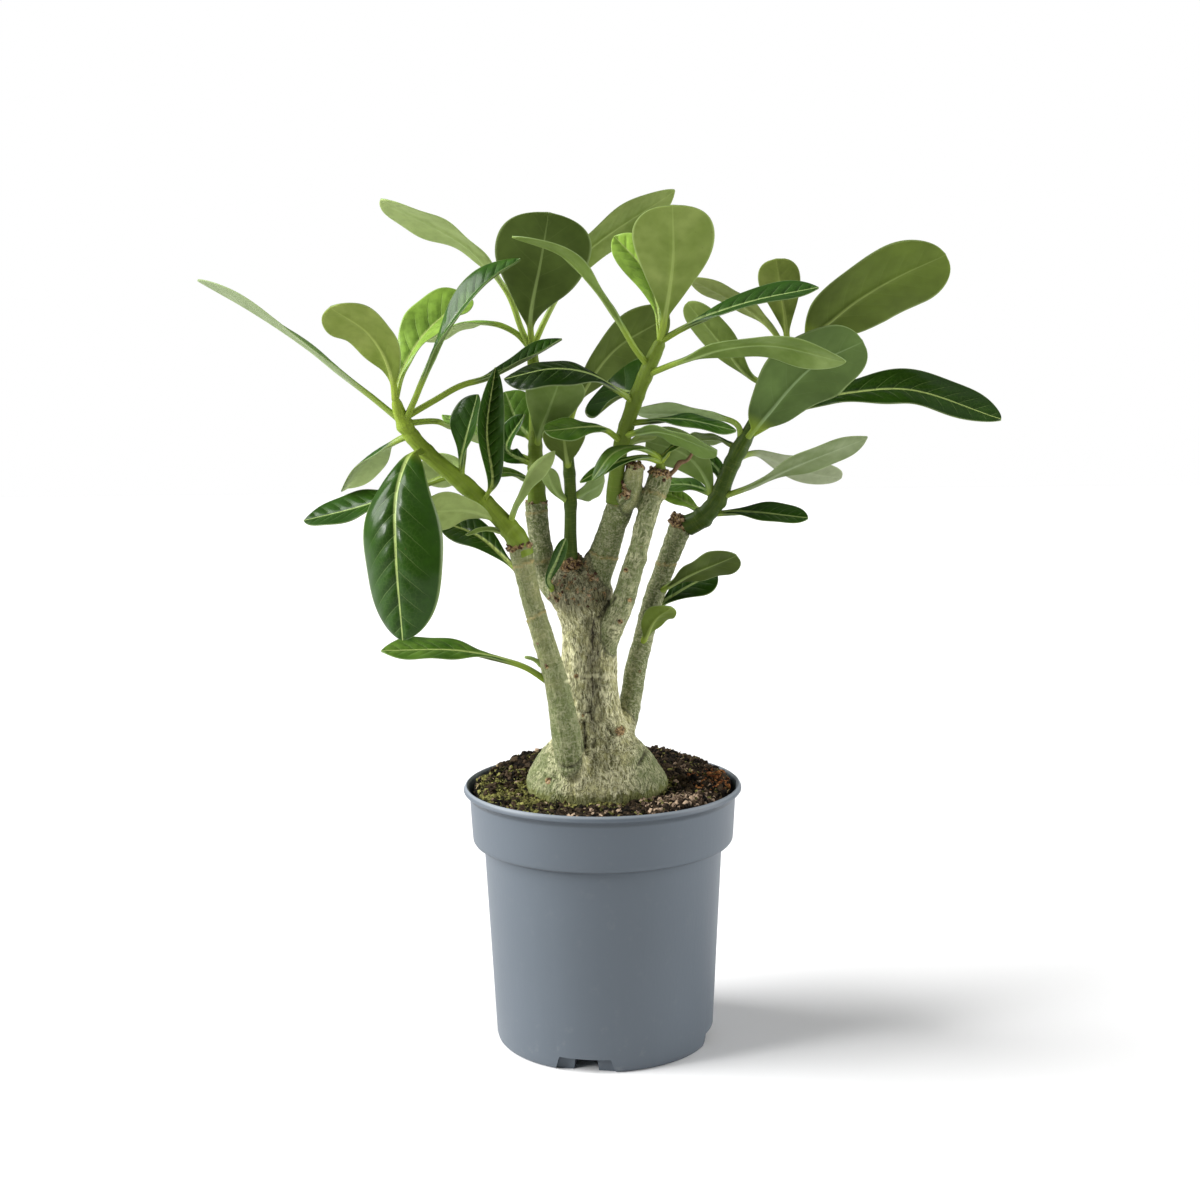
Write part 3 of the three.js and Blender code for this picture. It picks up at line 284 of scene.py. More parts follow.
            tone=(0.8, 0.7), warm=0.13),
        leaf(0.1, [(62, 2, 229.4), (88, -4, 227)], 15, (0, -0.5, 0.87), fold=10, blunt=0.6, tone=(0.3, 0.27)),
        leaf(0.2, [(39, 16, 240), (22, 24, 239)], 15, (0, -0.4, 0.9), tone=(0.5, 0.58), warm=0.4),
        leaf(0.1, [(37, 16, 233), (26, 23, 238)], 10, (0, -0.5, 0.85), tone=(0.5, 0.85), warm=0.6),
    ]),
}
LONE_LEAVES = {
    "leaf_low_left": leaf((-23.4, -21, 162), [(-33, -24, 168.4), (-58, -30, 176), (-90, -36, 177.4)], 21,
        (0, -0.32, 0.95), fold=6, blunt=0.2, stalk=0.2, tone=(0.05, 0.55), warm=0.6, vein=0.85),
    "leaf_bud_left": leaf((-23, -21, 167), [(-28, -22, 171), (-32, -22, 172)], 4, (0, 0.4, 0.9),
        tone=(0.6, 0.5)),
    "leaf_dark_left": leaf((-30.6, -20, 204), [(-38, -15, 210.6), (-51, -7, 221), (-68, 3, 226.6)], 14,
        (-0.2, -0.75, 0.55), fold=6, blunt=0.4, tone=(0.4, 0.46), warm=0.7, vein=0.9),
    "leaf_blunt_right": leaf((23.4, 13, 193), [(38.4, 4, 203), (57.4, -6, 212)], 20, (-0.3, 0.75, 0.6),
        fold=-6, belly=0.76, blunt=1, tone=(0.04, 0.3), warm=0.55),
    "leaf_dark_right": leaf((21.4, 14, 185), [(37.4, 18, 195), (51, 22, 201)], 19, (-0.1, -0.65, 0.75),
        fold=8, blunt=0.4, tone=(0.4, 0.44), vein=0.85),
    "leaf_slender_left": leaf((-19.5, -4.5, 197), [(-22, -11, 202.5), (-18.4, -13.4, 211),
        (-14.4, -13, 220.5)], 5.4, (0.3, -0.9, 0.2), tone=(0.55, 0.5)),
    "leaf_notched_right": leaf((17.6, 12, 171), [(23.4, 3, 184), (30, -3, 189.6)], 14, (-0.3, 0.8, 0.5),
        tone=(0.36, 0.4), warm=0.66),
}
DRY_STALK = [(28, -10, 246), (31, -10.6, 248), (33.4, -11, 251.4), (36.4, -12, 252.4), (39, -12, 256)]
DRY_STALK_RADII = [1.2, 0.8, 1.1, 0.8, 1.4]
DRY_STALK_KNOTS = (0.3, 0.5, 0.9)

# Colours that stay as they are.
DUST = (0.3, 0.3, 0.29)
# Pale colour of the painted highlight along the pot's lip.
LIP_HIGHLIGHT_PALE = (0.36, 0.4, 0.44)
GREY_TINT, COOL_TINT, WARM_TINT = (1.25, 0.98, 1.75), (0.74, 0.95, 1.15), (1.22, 1.05, 0.5)
LEAF_SPOT = (0.09, 0.07, 0.02)
STEM_RING = (0.24, 0.27, 0.06)
STREAK_SHADE = (0.66, 0.66, 0.56)
HOLLOW_SHADE = (0.052, 0.046, 0.026)
# Black for knot pits and the deepest painted shade.
PIT_AND_SHADE_BLACK = (0.02, 0.013, 0.008)
LEAF_SCAR = (0.4, 0.3, 0.12)
CORK = ((0.045, 0.022, 0.01), (0.42, 0.28, 0.12))
TORN_BARK = ((0.05, 0.025, 0.014), (0.42, 0.3, 0.18))
HUSK = ((0.18, 0.11, 0.06), (0.5, 0.36, 0.22))
PEAT_FLECK = (0.16, 0.11, 0.06)
CRUMBS = ((0.002, 0.0015, 0.001), (0.07, 0.047, 0.027))
GRIT_DIRT = (0.04, 0.022, 0.013)
STRAW = ((0.07, 0.045, 0.022), (0.42, 0.33, 0.18))
RUST = ((0.12, 0.04, 0.015), (0.42, 0.18, 0.06))

# Studio suns: where each one stands, the setting of its strength, and its spread in degrees.
LAMPS = {
    "key": ((-1, 0, 0.62), "key_power", 44), "window": ((-1, -0.45, 0.45), "window_power", 14),
    "fill": ((1, -0.06, 0.26), "fill_power", 44), "top": ((0.1, -0.2, 1), "top_power", 80),
}
ROOM_GLOSS = 0.12
FLOOR_CORNERS = [(-3, -3, 0), (3, -3, 0), (3, 3, 0), (-3, 3, 0)]
# Camera: its place in metres, how far it looks down and is rolled in degrees, its lens and sensor.
CAMERA_PLACE = (-0.00031, -0.7582, 0.2988)
CAMERA_PITCH, CAMERA_ROLL = 7.98, -0.58
CAMERA_LENS, CAMERA_SENSOR = 53.74, 36


class Wire:
    """An output socket that takes part in sums."""

    def __init__(self, bench, socket):
        self.bench = bench
        self.socket = socket

    def __getitem__(self, output):
        return Wire(self.bench, self.socket.node.outputs[output])

    def __add__(self, other):
        return self.bench.sum("ADD", self, other)

    def __sub__(self, other):
        return self.bench.sum("SUBTRACT", self, other)

    def __rsub__(self, other):
        return self.bench.sum("SUBTRACT", other, self)

    def __mul__(self, other):
        return self.bench.sum("MULTIPLY", self, other)

    def __gt__(self, other):
        return self.bench.sum("GREATER_THAN", self, other)

    def __abs__(self):
        return self.bench.sum("ABSOLUTE", self)

    __radd__ = __add__
    __rmul__ = __mul__


class Bench:
    """Adds nodes to one tree, for a finish or for shapes."""

    def __init__(self, tree):
        self.tree = tree

    def node(self, kind, settings=None, sockets=None):
        made = self.tree.nodes.new(kind)
        for name, value in (settings or {}).items():
            if name == "stops":
                self.ramp(made.color_ramp.elements, value)
            else:
                setattr(made, name, value)
        for name, value in (sockets or {}).items():
            if isinstance(value, Wire):
                self.tree.links.new(value.socket, made.inputs[name])
            else:
                made.inputs[name].default_value = value
        return Wire(self, made.outputs[0]) if made.outputs else None

    def ramp(self, elements, stops):
        elements[0].position, elements[1].position = stops[0][0], stops[-1][0]
        for place, _ in stops[1:-1]:
            elements.new(place)
        for element, (_, colour) in zip(elements, stops):
            element.color = (*colour, 1)

    def sum(self, operation, *values):
        return self.node("ShaderNodeMath", {"operation": operation}, dict(enumerate(values)))

    def vector(self, operation, a, b):
        """Vector maths, where SCALE takes a number."""
        return self.node("ShaderNodeVectorMath", {"operation": operation},
                         {0: a, "Scale" if operation == "SCALE" else 1: b})

    def mix(self, share, a, b, how="MIX"):
        settings = {"data_type": "RGBA", "blend_type": how, "clamp_factor": True}
        a, b = (v if isinstance(v, Wire) else (*v[:3], 1) for v in (a, b))
        return self.node("ShaderNodeMix", settings, {0: share, 6: a, 7: b})[2]

    def coats(self, colour, *coats):
        """Colours laid over one another, each with its share."""
        for share, coat in coats:
            colour = self.mix(share, colour, coat)
        return colour

    def step(self, value, low, high):
        settings = {"interpolation_type": "SMOOTHSTEP"}
        return self.node("ShaderNodeMapRange", settings, {"Value": value, "From Min": low, "From Max": high})

    def speckle(self, where, scale, detail=3, roughness=0.55):
        sockets = {"Vector": where, "Scale": scale, "Detail": detail, "Roughness": roughness}
        return self.node("ShaderNodeTexNoise", {}, sockets)

    def grained(self, where, by, scale=1, detail=3, roughness=0.55):
        """Speckle stretched along an axis."""
        return self.speckle(self.vector("MULTIPLY", where, by), scale, detail, roughness)

    def thin(self, where, by, width, scale=1):
        """Thin winding lines, where the noise passes its middle."""
        return 1 - self.step(abs(self.grained(where, by, scale, 2) - 0.5), 0, width)

    def mark(self, name, output="Vector"):
        return self.node("ShaderNodeAttribute", {"attribute_name": name})[output]

    def read(self, name):
        """The three values of a mark on the mesh."""
        return self.parts(self.mark(name))

    def join(self, x, y, z):
        return self.node("ShaderNodeCombineXYZ", {}, {"X": x, "Y": y, "Z": z})

    def drift(self, where, scale, detail):
        """Three random values side by side."""
        return self.node("ShaderNodeTexNoise", {}, {"Vector": where, "Scale": scale, "Detail": detail})["Color"]

    def draw(self, seed, low, high, **more):
        """A number or a vector drawn for every lump."""
        vectors = isinstance(high, tuple)
        kind, first, output = ("FLOAT_VECTOR", 0, 0) if vectors else ("FLOAT", 2, 1)
        sockets = {first: low, first + 1: high, "Seed": seed, **more}
        return self.node("FunctionNodeRandomValue", {"data_type": kind}, sockets)[output]

    def parts(self, vector):
        split = self.node("ShaderNodeSeparateXYZ", {}, {0: vector})
        return split["X"], split["Y"], split["Z"]

    def here(self):
        return self.node("ShaderNodeTexCoord")["Object"]

    def bump(self, height, depth):
        return self.node("ShaderNodeBump", {}, {"Height": height, "Distance": depth, "Strength": 1.0})


def empty_bench(owner):
    """The emptied tree of a finish or of the room."""
    owner.use_nodes = True
    owner.node_tree.nodes.clear()
    return Bench(owner.node_tree)


def toned(colour, by):
    """The colour made darker or lighter."""
    return [v * by for v in colour]


def finish(name, recipe, *given):
    """A finish whose shader takes what the recipe gives."""
    made = bpy.data.materials.new(name)
    bench = empty_bench(made)
    shader = bench.node("ShaderNodeBsdfPrincipled", {}, recipe(bench, *given))
    bench.node("ShaderNodeOutputMaterial", {}, {"Surface": shader})
    return made


def pot_plastic(bench, sizes):
    where = bench.here()
    _, _, high = bench.parts(where)
    cloud = bench.speckle(where, 28, 4)
    fine = bench.grained(where, (1, 1, 0.35), 900, 2)
    flow = bench.grained(where, (1, 1, 0.12), 70)
    dust = bench.step(bench.speckle(where, 160, 5, 0.65), 0.56, 0.8)
    low = 1 - bench.step(high, 0.002, 0.03)
    # Bands of painted shade under the lip and under the collar.
    lip, collar = (bench.step(high, *shade_band[:2]) * (1 - bench.step(high, *shade_band[2:])) for shade_band in UNDER_LIP_COLLAR_SHADE)
    colour = bench.coats(
        sizes.plastic,
        (cloud * 0.5, toned(sizes.plastic, 1.16)),
        (dust * (0.06 + low * 0.16), DUST),
        # Painted highlight along the lip.
        (bench.step(high, *LIP_HIGHLIGHT_HEIGHTS) * 0.4, LIP_HIGHLIGHT_PALE),
        # Painted shade under the lip and under the collar.
        ((lip + collar) * 0.5, toned(sizes.plastic, 0.3)))
    return {"Base Color": colour, "Roughness": 0.42 + cloud * 0.12 + dust * 0.1,
            "Normal": bench.bump(fine * 0.35 + flow, 0.0001), "IOR": 1.46, "Specular IOR Level": 0.35}


def leaf_green(bench, tone, dark, middle, light):
    return bench.node("ShaderNodeValToRGB", {"stops": [(0, dark), (0.5, middle), (1, light)]}, {"Fac": tone})


def leaf_skin(bench, sizes, deep=1.0):
    across, along, share = bench.read("blade")
    upper, tone, seed = bench.read("look")
    vein, edge, warm = bench.read("trim")
    gap, _, _ = bench.read("span")
    at = bench.join(across, along, seed * 37)
    side = abs(across)
    stray = bench.speckle(at, 0.12, 2) * 0.9
    lean = along - side * VEIN_LEAN - side * side * VEIN_BEND + stray + (across > 0) * (gap * 0.5) + seed * 7
    away = bench.sum("PINGPONG", lean, gap * 0.5)
    fade = 1 - bench.step(edge, 0.3, 0.88)
    branch = (1 - bench.step(away, 0.05, 0.34)) * fade * vein
    rib_half = (1 - share) * 0.85 + 0.28
    rib = 1 - bench.step(side, rib_half * 0.4, rib_half * 1.2)
    cells = bench.node("ShaderNodeTexVoronoi", {"feature": "DISTANCE_TO_EDGE"}, {"Vector": at, "Scale": 0.55})
    net = 1 - bench.step(cells, 0, 0.12)
    cloud = bench.speckle(at, 0.055)
    mottle = bench.speckle(at, 0.3, 2, 0.5)

    over = bench.coats(
        leaf_green(bench, tone + (cloud - 0.5) * 0.5, toned(sizes.upper, 0.3 * deep), toned(sizes.upper, deep),
                   sizes.upper_light),
        (bench.step(mottle, 0.4, 0.75) * 0.3, toned(sizes.upper, 0.45)),
        (branch * 0.25 + net * fade * vein * 0.05, sizes.vein),
        (rib * (0.4 + vein * 0.45), sizes.rib))
    under = bench.coats(
        leaf_green(bench, tone + (cloud - 0.5) * 0.55 + share * 0.12 - 0.06, toned(sizes.under, 0.3),
                   sizes.under, sizes.under_light),
        (bench.step(mottle, 0.35, 0.75) * 0.18, toned(sizes.under, 0.6)),
        (branch * 0.08, sizes.rib),
        (rib * (0.62 - share * 0.45), sizes.rib))
    tint = bench.mix(warm, COOL_TINT, WARM_TINT)
    tint = bench.mix(1 - bench.step(warm, 0, 0.3), tint, GREY_TINT)
    colour = bench.coats(
        bench.mix(1.0, bench.mix(upper, under, over), tint, "MULTIPLY"),
        # A painted highlight: a pale line along the leaf's edge.
        (bench.step(edge, 0.93, 1) * 0.35, sizes.rib),
        ((1 - bench.step(share, 0.0, 0.14)) * 0.7, sizes.shoot),
        (bench.step(bench.speckle(at, 0.5, 2), 0.72, 0.76) * 0.3, LEAF_SPOT))
    pillow = bench.step(away, 0, gap * 0.35) * fade * vein
    height = pillow * (0.2 + upper * 0.4) + (mottle * 0.12 - branch * 0.4) * upper
    return {"Base Color": colour, "Roughness": 0.5 - upper * 0.1 + mottle * 0.1,
            "Normal": bench.bump(height, 0.0006), "IOR": 1.45, "Specular IOR Level": 0.06,
            "Coat Weight": upper * 0.27, "Coat Roughness": 0.2}


def green_bark(bench, sizes):
    _, along, round_at = bench.read("blade")
    _, tone, seed = bench.read("look")
    at = bench.join(round_at, along, seed * 11)
    streak = bench.grained(at, (1.4, 0.12, 1), 1, 4)
    ring = bench.thin(at, (0.06, 0.55, 1), 0.03)
    deep_green = [v * k for v, k in zip(sizes.shoot, (0.1, 0.16, 0.2))]
    colour = bench.coats(
        deep_green,
        (tone, toned(sizes.shoot, 1.15)),
        (bench.step(streak, 0.4, 0.7) * 0.4, toned(sizes.shoot, 0.4)),
        (ring * 0.12, STEM_RING))
    return {"Base Color": colour, "Roughness": 0.4 + streak * 0.15,
            "Normal": bench.bump(streak * 0.4 + ring * 0.2, 0.0003), "Specular IOR Level": 0.15}


def wrinkled_bark(bench, sizes):
    grain = bench.mark("grain")
    green, rings, fleck = bench.read("bark")
    crust, shade_and_pits, moss = bench.read("wear")
    scar, line, wrinkled = bench.read("scar")
    at = bench.vector("ADD", grain, bench.vector("SCALE", bench.drift(grain, 0.2, 3.0), 3.0))
    cloud = bench.speckle(grain, 0.1, 4, 0.6)
    patch = bench.speckle(grain, 0.2, 3, 0.5)
    small = bench.speckle(grain, 1.1, 4, 0.65)
    streaks = bench.step(bench.grained(at, (1.5, 1.5, 0.22), 1, 3, 0.5), 0.4, 0.56)
    fine_lines = bench.thin(at, (0.62, 0.62, 0.2), 0.11)
    cracks = bench.thin(at, (0.42, 0.42, 0.14), 0.07, 1.3)
    hoops = bench.thin(grain, (0.05, 0.05, 0.24), 0.03) * rings
    flecks = bench.step(bench.grained(at, (0.75, 0.75, 1.1), 1, 4, 0.6), 0.5, 0.58) * fleck
    worn = wrinkled * (0.3 + bench.step(patch, 0.4, 0.56) * 0.7)
    lines = bench.sum("MAXIMUM", streaks * 0.7, fine_lines)

    colour = bench.coats(
        sizes.pale_bark,
        (bench.step(cloud, 0.3, 0.7), toned(sizes.pale_bark, 0.7)),
        (bench.step(green + (cloud - 0.5) * 0.9, 0.1, 0.85), sizes.green_bark),
        (bench.step(small, 0.42, 0.66) * 0.22, toned(sizes.green_bark, 0.45)))
    shaded = bench.mix(1.0, colour, STREAK_SHADE, "MULTIPLY")
    lit = bench.mix(0.5 - green * 0.25, colour, sizes.cream)
    cork = bench.mix(bench.step(small, 0.38, 0.62), *CORK)
    colour = bench.coats(
        colour,
        (worn, bench.mix(streaks, shaded, lit)),
        (cracks * (0.1 + wrinkled * 0.28), toned(sizes.green_bark, 0.35)),
        (fine_lines * worn * (0.85 - green * 0.15) + hoops * 0.4, sizes.cream),
        (flecks * 0.85, sizes.fleck),
        # Painted shade in hollows, down the furrow and on the head of the stem, together with the dark centres of
        # knots.
        (bench.step(shade_and_pits, 0.05, 0.9) * (0.86 - lines * wrinkled * 0.3), HOLLOW_SHADE),
        (scar * 0.8, LEAF_SCAR),
        (line * 0.8, sizes.cream),
        (bench.step(moss + (small - 0.5) * 0.7, 0.35, 0.7) * 0.7, sizes.moss_stain),
        (bench.step(crust + (small - 0.5) * 0.5, 0.35, 0.6), cork),
        # The darkest of it painted black: pits of knots and the deepest painted shade.
        (bench.step(shade_and_pits, 0.82, 1) * 0.85, PIT_AND_SHADE_BLACK))
    height = small * 0.5 + lines * worn + hoops * 0.4 + flecks * 0.5 + patch * 0.6 - cracks * (0.2 + wrinkled * 0.6)
    return {"Base Color": colour, "Roughness": 0.5 + small * 0.2 - wrinkled * 0.06,
            "Normal": bench.bump(height, 0.0006), "Specular IOR Level": 0.16}


def peat_ground(bench, sizes):
    where = bench.here()
    coarse = bench.speckle(where, 220, 5, 0.7)
    fine = bench.speckle(where, 900, 4, 0.7)
    colour = bench.coats(
        toned(sizes.peat, 0.45),
        (bench.step(coarse, 0.4, 0.65), sizes.peat),
        (bench.step(fine, 0.6, 0.75) * 0.6, PEAT_FLECK))
    return {"Base Color": colour, "Roughness": 0.75 + fine * 0.25, "Normal": bench.bump(coarse * 1.4 + fine, 0.0012),
            "Specular IOR Level": 0.12}


def loose_grain(bench, dark, light, rough=0.85):
    fine = bench.speckle(bench.here(), 1100, 3, 0.7)
    light_share = bench.step(bench.mark("shade", "Fac") * 0.8 + (fine - 0.5) * 1.8, 0, 0.9)
    return {"Base Color": bench.mix(light_share, dark, light), "Roughness": rough,
            "Normal": bench.bump(fine, 0.0005), "Specular IOR Level": 0.12}


def studio_white(bench, sizes):
    cloud = bench.speckle(bench.here(), 3, 2)
    colour = bench.mix(cloud * 0.2, sizes.floor, toned(sizes.floor, 0.985))
    return {"Base Color": colour, "Roughness": 0.7, "Specular IOR Level": 0.2}


class Path:
    """A smooth line through points, read by the share of its length."""

    def __init__(self, points):
        knots = np.array(points, float)
        ends = np.vstack([2 * knots[0] - knots[1], knots, 2 * knots[-1] - knots[-2]])
        pace = np.maximum(np.linalg.norm(np.diff(ends, axis=0), axis=1), 1e-6) ** 0.5
        t = np.linspace(0, 1, 20, endpoint=False)[:, None]
        runs = []
        for i in range(len(knots) - 1):
            p0, p1, p2, p3 = ends[i:i + 4]
            d0, d1, d2 = pace[i:i + 3]
            start = ((p1 - p0) / d0 - (p2 - p0) / (d0 + d1) + (p2 - p1) / d1) * d1
            end = ((p2 - p1) / d1 - (p3 - p1) / (d1 + d2) + (p3 - p2) / d2) * d1
            square = (3 * (p2 - p1) - 2 * start - end) * t ** 2
            runs.append(p1 + start * t + square + (2 * (p1 - p2) + start + end) * t ** 3)
        self.dense = np.vstack([*runs, knots[-1:]])
        self.knot = np.linspace(0, len(knots) - 1, len(self.dense))
        self.reach = np.concatenate([[0], np.cumsum(np.linalg.norm(np.diff(self.dense, axis=0), axis=1))])
        self.length = self.reach[-1]

    def spread(self, values, shares):
        at = share_of(shares) * self.length
        return np.stack([np.interp(at, self.reach, column) for column in values.T], axis=-1)

    def points(self, shares):
        return self.spread(self.dense, shares)

    def ahead(self, shares):
        run = self.spread(np.gradient(self.dense, self.reach, axis=0), shares)
        return run / np.linalg.norm(run, axis=-1, keepdims=True)

    def width(self, radii, shares):
        at = np.interp(share_of(shares) * self.length, self.reach, self.knot)
        return np.interp(at, np.arange(len(radii)), radii)

    def frames(self, shares):
        """Points, directions and two cross directions that don't twist along the line."""
        ahead = self.ahead(shares)
        across = np.cross(ahead[0], (0.3, 0.9, 0.2))
        firsts = []
        for run in ahead:
            across = across - run * across.dot(run)
            across = across / np.linalg.norm(across)
            firsts.append(across)
        firsts = np.array(firsts)
        return self.points(shares), ahead, firsts, np.cross(ahead, firsts)


def eased(at, knots, values):
    """Values that run smoothly through those at the knots."""
    slopes = np.gradient(values, knots)
    i = np.clip(np.searchsorted(knots, at) - 1, 0, len(knots) - 2)
    gap = knots[i + 1] - knots[i]
    t = (at - knots[i]) / gap
    rise = (2 * t ** 3 - 3 * t ** 2 + 1) * values[i] + (3 * t ** 2 - 2 * t ** 3) * values[i + 1]
    return rise + gap * ((t ** 3 - 2 * t ** 2 + t) * slopes[i] + (t ** 3 - t ** 2) * slopes[i + 1])


def smooth_step(value, low, high):
    t = share_of((value - low) / (high - low))
    return t * t * (3 - 2 * t)


def rough_field(points, scale, octaves, shift):
    """Smooth random values at points, about -1 to 1."""
    places = np.asarray(points) * np.asarray(scale) + shift
    return np.array([noise.fractal(place, 1.0, 2.0, octaves) for place in places.tolist()])


def share_of(value):
    """The value, kept between 0 and 1."""
    return np.clip(value, 0, 1)


def bell(value, width=1):
    """1 in the middle and falling to nothing at both sides."""
    return np.exp(-(value / width) ** 2)


def hill(x, y, at_x, at_y, spread):
    """A round hill of height 1, where the spread is the square of its half width."""
    return np.exp(-((x - at_x) ** 2 + (y - at_y) ** 2) / spread)


def circle(facets):
    """Angles all round."""
    return np.linspace(0, 2 * math.pi, facets, endpoint=False)


def triple(shape, *values):
    """Three values side by side for every point."""
    return np.stack([np.broadcast_to(value, shape) for value in values], axis=-1)


def tube(path, shares, radius, turn):
    """Rings round a path."""
    centre, _, first, second = path.frames(shares)
    spoke = first[:, None] * np.cos(turn)[None, :, None] + second[:, None] * np.sin(turn)[None, :, None]
    return centre[:, None] + spoke * radius[..., None]


class Skin:
    """Closed skins gathered into one mesh, with marks that the finishes read."""

    def __init__(self, *marks):
        self.points = []
        self.faces = []
        self.kinds = []
        self.marks = {name: [] for name in marks}
        self.count = 0

    def add(self, rings, caps, kind=0, **marks):
        """Rings run counter-clockwise along the way of travel. Caps are faces of one ring, as ring numbers."""
        rows, around = rings.shape[:2]
        first = np.arange(rows - 1)[:, None] * around + np.arange(around)[None, :] + self.count
        second = np.roll(first, -1, axis=1)
        sides = np.stack([first, second, second + around, first + around], axis=-1).reshape(-1, 4)
        last = (rows - 1) * around + self.count
        faces = sides.tolist()
        for cap in caps:
            faces.append([self.count + i for i in reversed(cap)])
            faces.append([last + i for i in cap])
        self.faces += faces
        self.kinds += [kind] * len(faces)
        self.points.append(rings.reshape(-1, 3))
        for name, values in marks.items():
            self.marks[name].append(np.broadcast_to(values, rings.shape).reshape(-1, 3))
        self.count += rows * around

    def piece(self, name, finishes):
        mesh = bpy.data.meshes.new(name)
        mesh.from_pydata((np.vstack(self.points) * MM).tolist(), [], self.faces)
        mesh.polygons.foreach_set("material_index", self.kinds)
        for mark, values in self.marks.items():
            lay_mark(mesh, mark, np.vstack(values))
        return piece_of(name, mesh, finishes)


def lay_mark(mesh, name, values):
    kind, key = ("FLOAT_VECTOR", "vector") if values.ndim == 2 else ("FLOAT", "value")
    mesh.attributes.new(name, kind, "POINT").data.foreach_set(key, np.ascontiguousarray(values, np.float32).ravel())


def read_off(items, key, wide, kind=float):
    """Values of a mesh's points or edges, one row each."""
    values = np.empty(len(items) * wide, kind)
    items.foreach_get(key, values)
    return values.reshape(-1, wide)


def put_in(name, data):
    """An object of this data in the scene."""
    made = bpy.data.objects.new(name, data)
    bpy.context.scene.collection.objects.link(made)
    return made


def piece_of(name, mesh, finishes):
    for one in finishes:
        mesh.materials.append(one)
    mesh.shade_smooth()
    mesh.update()
    return put_in(name, mesh)


def settled(made):
    """The piece with its modifiers worked into its mesh."""
    bpy.context.view_layer.update()
    seen = made.evaluated_get(bpy.context.evaluated_depsgraph_get())
    mesh = bpy.data.meshes.new_from_object(seen)
    made.modifiers.clear()
    old = made.data
    made.data = mesh
    bpy.data.meshes.remove(old)
    return made


def place_piece(made, slot, *nodes):
    if len(made.data.polygons) == 0:
        raise RuntimeError(f"{made.name} has no faces")
    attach(made, "root")
    if nodes:
        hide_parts(*nodes)


ACROSS = np.array([0, 0.035, 0.08, 0.15, 0.26, 0.4, 0.55, 0.7, 0.84, 0.94, 1])
ACROSS = np.concatenate([-ACROSS[:0:-1], ACROSS])


def add_leaf(skin, root, spec, seed):
    """One leaf: a round stalk that flattens into a blade with a grooved rib above and a raised one below."""
    path = Path([root, *spec.rib])
    rows = int(np.clip(path.length / (1.7 - spec.vein * 0.8), 18, 90))
    along = 1 - (1 - np.linspace(0, 1, rows)) ** 1.3
    share = share_of((along - spec.stalk) / (1 - spec.stalk))
    tip = 0.42 + 0.5 * (1 - spec.blunt)
    base = tip * spec.belly / (1 - spec.belly)
    blade = spec.wide / 2 * (share / spec.belly) ** base * ((1 - share) / (1 - spec.belly)) ** tip
    swell = 1 + 0.3 * np.exp(-along * path.length / 4)
    half = (blade ** 3 + (swell * np.interp(share, [0, 1], [STALK_HALF, 0.15])) ** 3) ** (1 / 3)
    centre, ahead = path.points(along), path.ahead(along)
    side = np.cross(spec.face, ahead)
    side /= np.linalg.norm(side, axis=1, keepdims=True)
    up = np.cross(ahead, side)

    flat = share_of(share * 5)[:, None]
    u = ACROSS[None, :]
    rise = math.radians(spec.fold)
    reach = half[:, None] * u
    dish = (np.sqrt(u * u + 0.006) - 0.077) * math.sin(rise) - spec.bow * u * u
    phase = seed * 2.4 + np.sign(u) * 1.3
    wave = np.sin(2 * math.pi * share[:, None] * (1.4 + (seed % 3) * 0.5) + phase)
    wave = wave * u * u * EDGE_WAVE * spec.wide * (4 * share * (1 - share))[:, None]
    gap = np.clip(spec.wide * VEIN_GAP, 2.6, 9)
    draw = (seed * 0.618) % 1
    lean = (along * path.length)[:, None] - abs(reach) * VEIN_LEAN - reach * reach * VEIN_BEND
    lean = lean + (u > 0) * gap / 2 + draw * 7
    away = abs((lean + gap / 2) % gap - gap / 2)
    pillow = smooth_step(away, 0, gap * 0.4) * smooth_step(abs(reach), 0.6, 2.6) * (1 - abs(u) ** 3)
    high = half[:, None] * dish + wave * flat
    quilt = pillow * flat * max(0, spec.vein - 0.3) * QUILT_HEIGHT * gap
    thick = np.interp(share * 3, [0, 1], [STALK_THICK, BLADE])[:, None] * swell[:, None]
    rim = (1 - flat) * np.sqrt(share_of(1 - u * u)) + flat * (1 - 0.75 * np.abs(u) ** 5)
    groove = RIB_GROOVE * bell(reach, 0.8) * flat * (1 - share[:, None]) ** 0.3
    ridge = RIB_RIDGE * bell(reach, 1.1) * flat * (1 - share[:, None]) ** 0.6
    over = high + thick / 2 * rim - groove + quilt
    under = high - thick / 2 * rim - ridge
    nick = spec.notch * path.length * bell(u, 0.2) * smooth_step(share, 0.7, 1)[:, None]

    def lay(height):
        out = centre[:, None] + side[:, None] * (reach * math.cos(rise))[..., None]
        return out + up[:, None] * height[..., None] - ahead[:, None] * nick[..., None]

    rings = np.concatenate([lay(under), lay(over)[:, ::-1]], axis=1)
    count = len(ACROSS)
    both = np.concatenate([reach, reach[:, ::-1]], axis=1)
    place = triple(both.shape, both, (along * path.length)[:, None], share[:, None])
    top = np.zeros(2 * count)
    top[count:] = 1
    low, high = np.broadcast_to(spec.tone, 2)
    look = triple(both.shape, top, low + (high - low) * top, draw)
    edge = np.abs(np.concatenate([ACROSS, ACROSS[::-1]]))
    trim = triple(both.shape, spec.vein, edge, spec.warm)
    caps = [(i, i + 1, 2 * count - 2 - i, 2 * count - 1 - i) for i in range(count - 1)]
    skin.add(rings, caps, 0, blade=place, look=look, trim=trim, span=(gap, 0, 0))


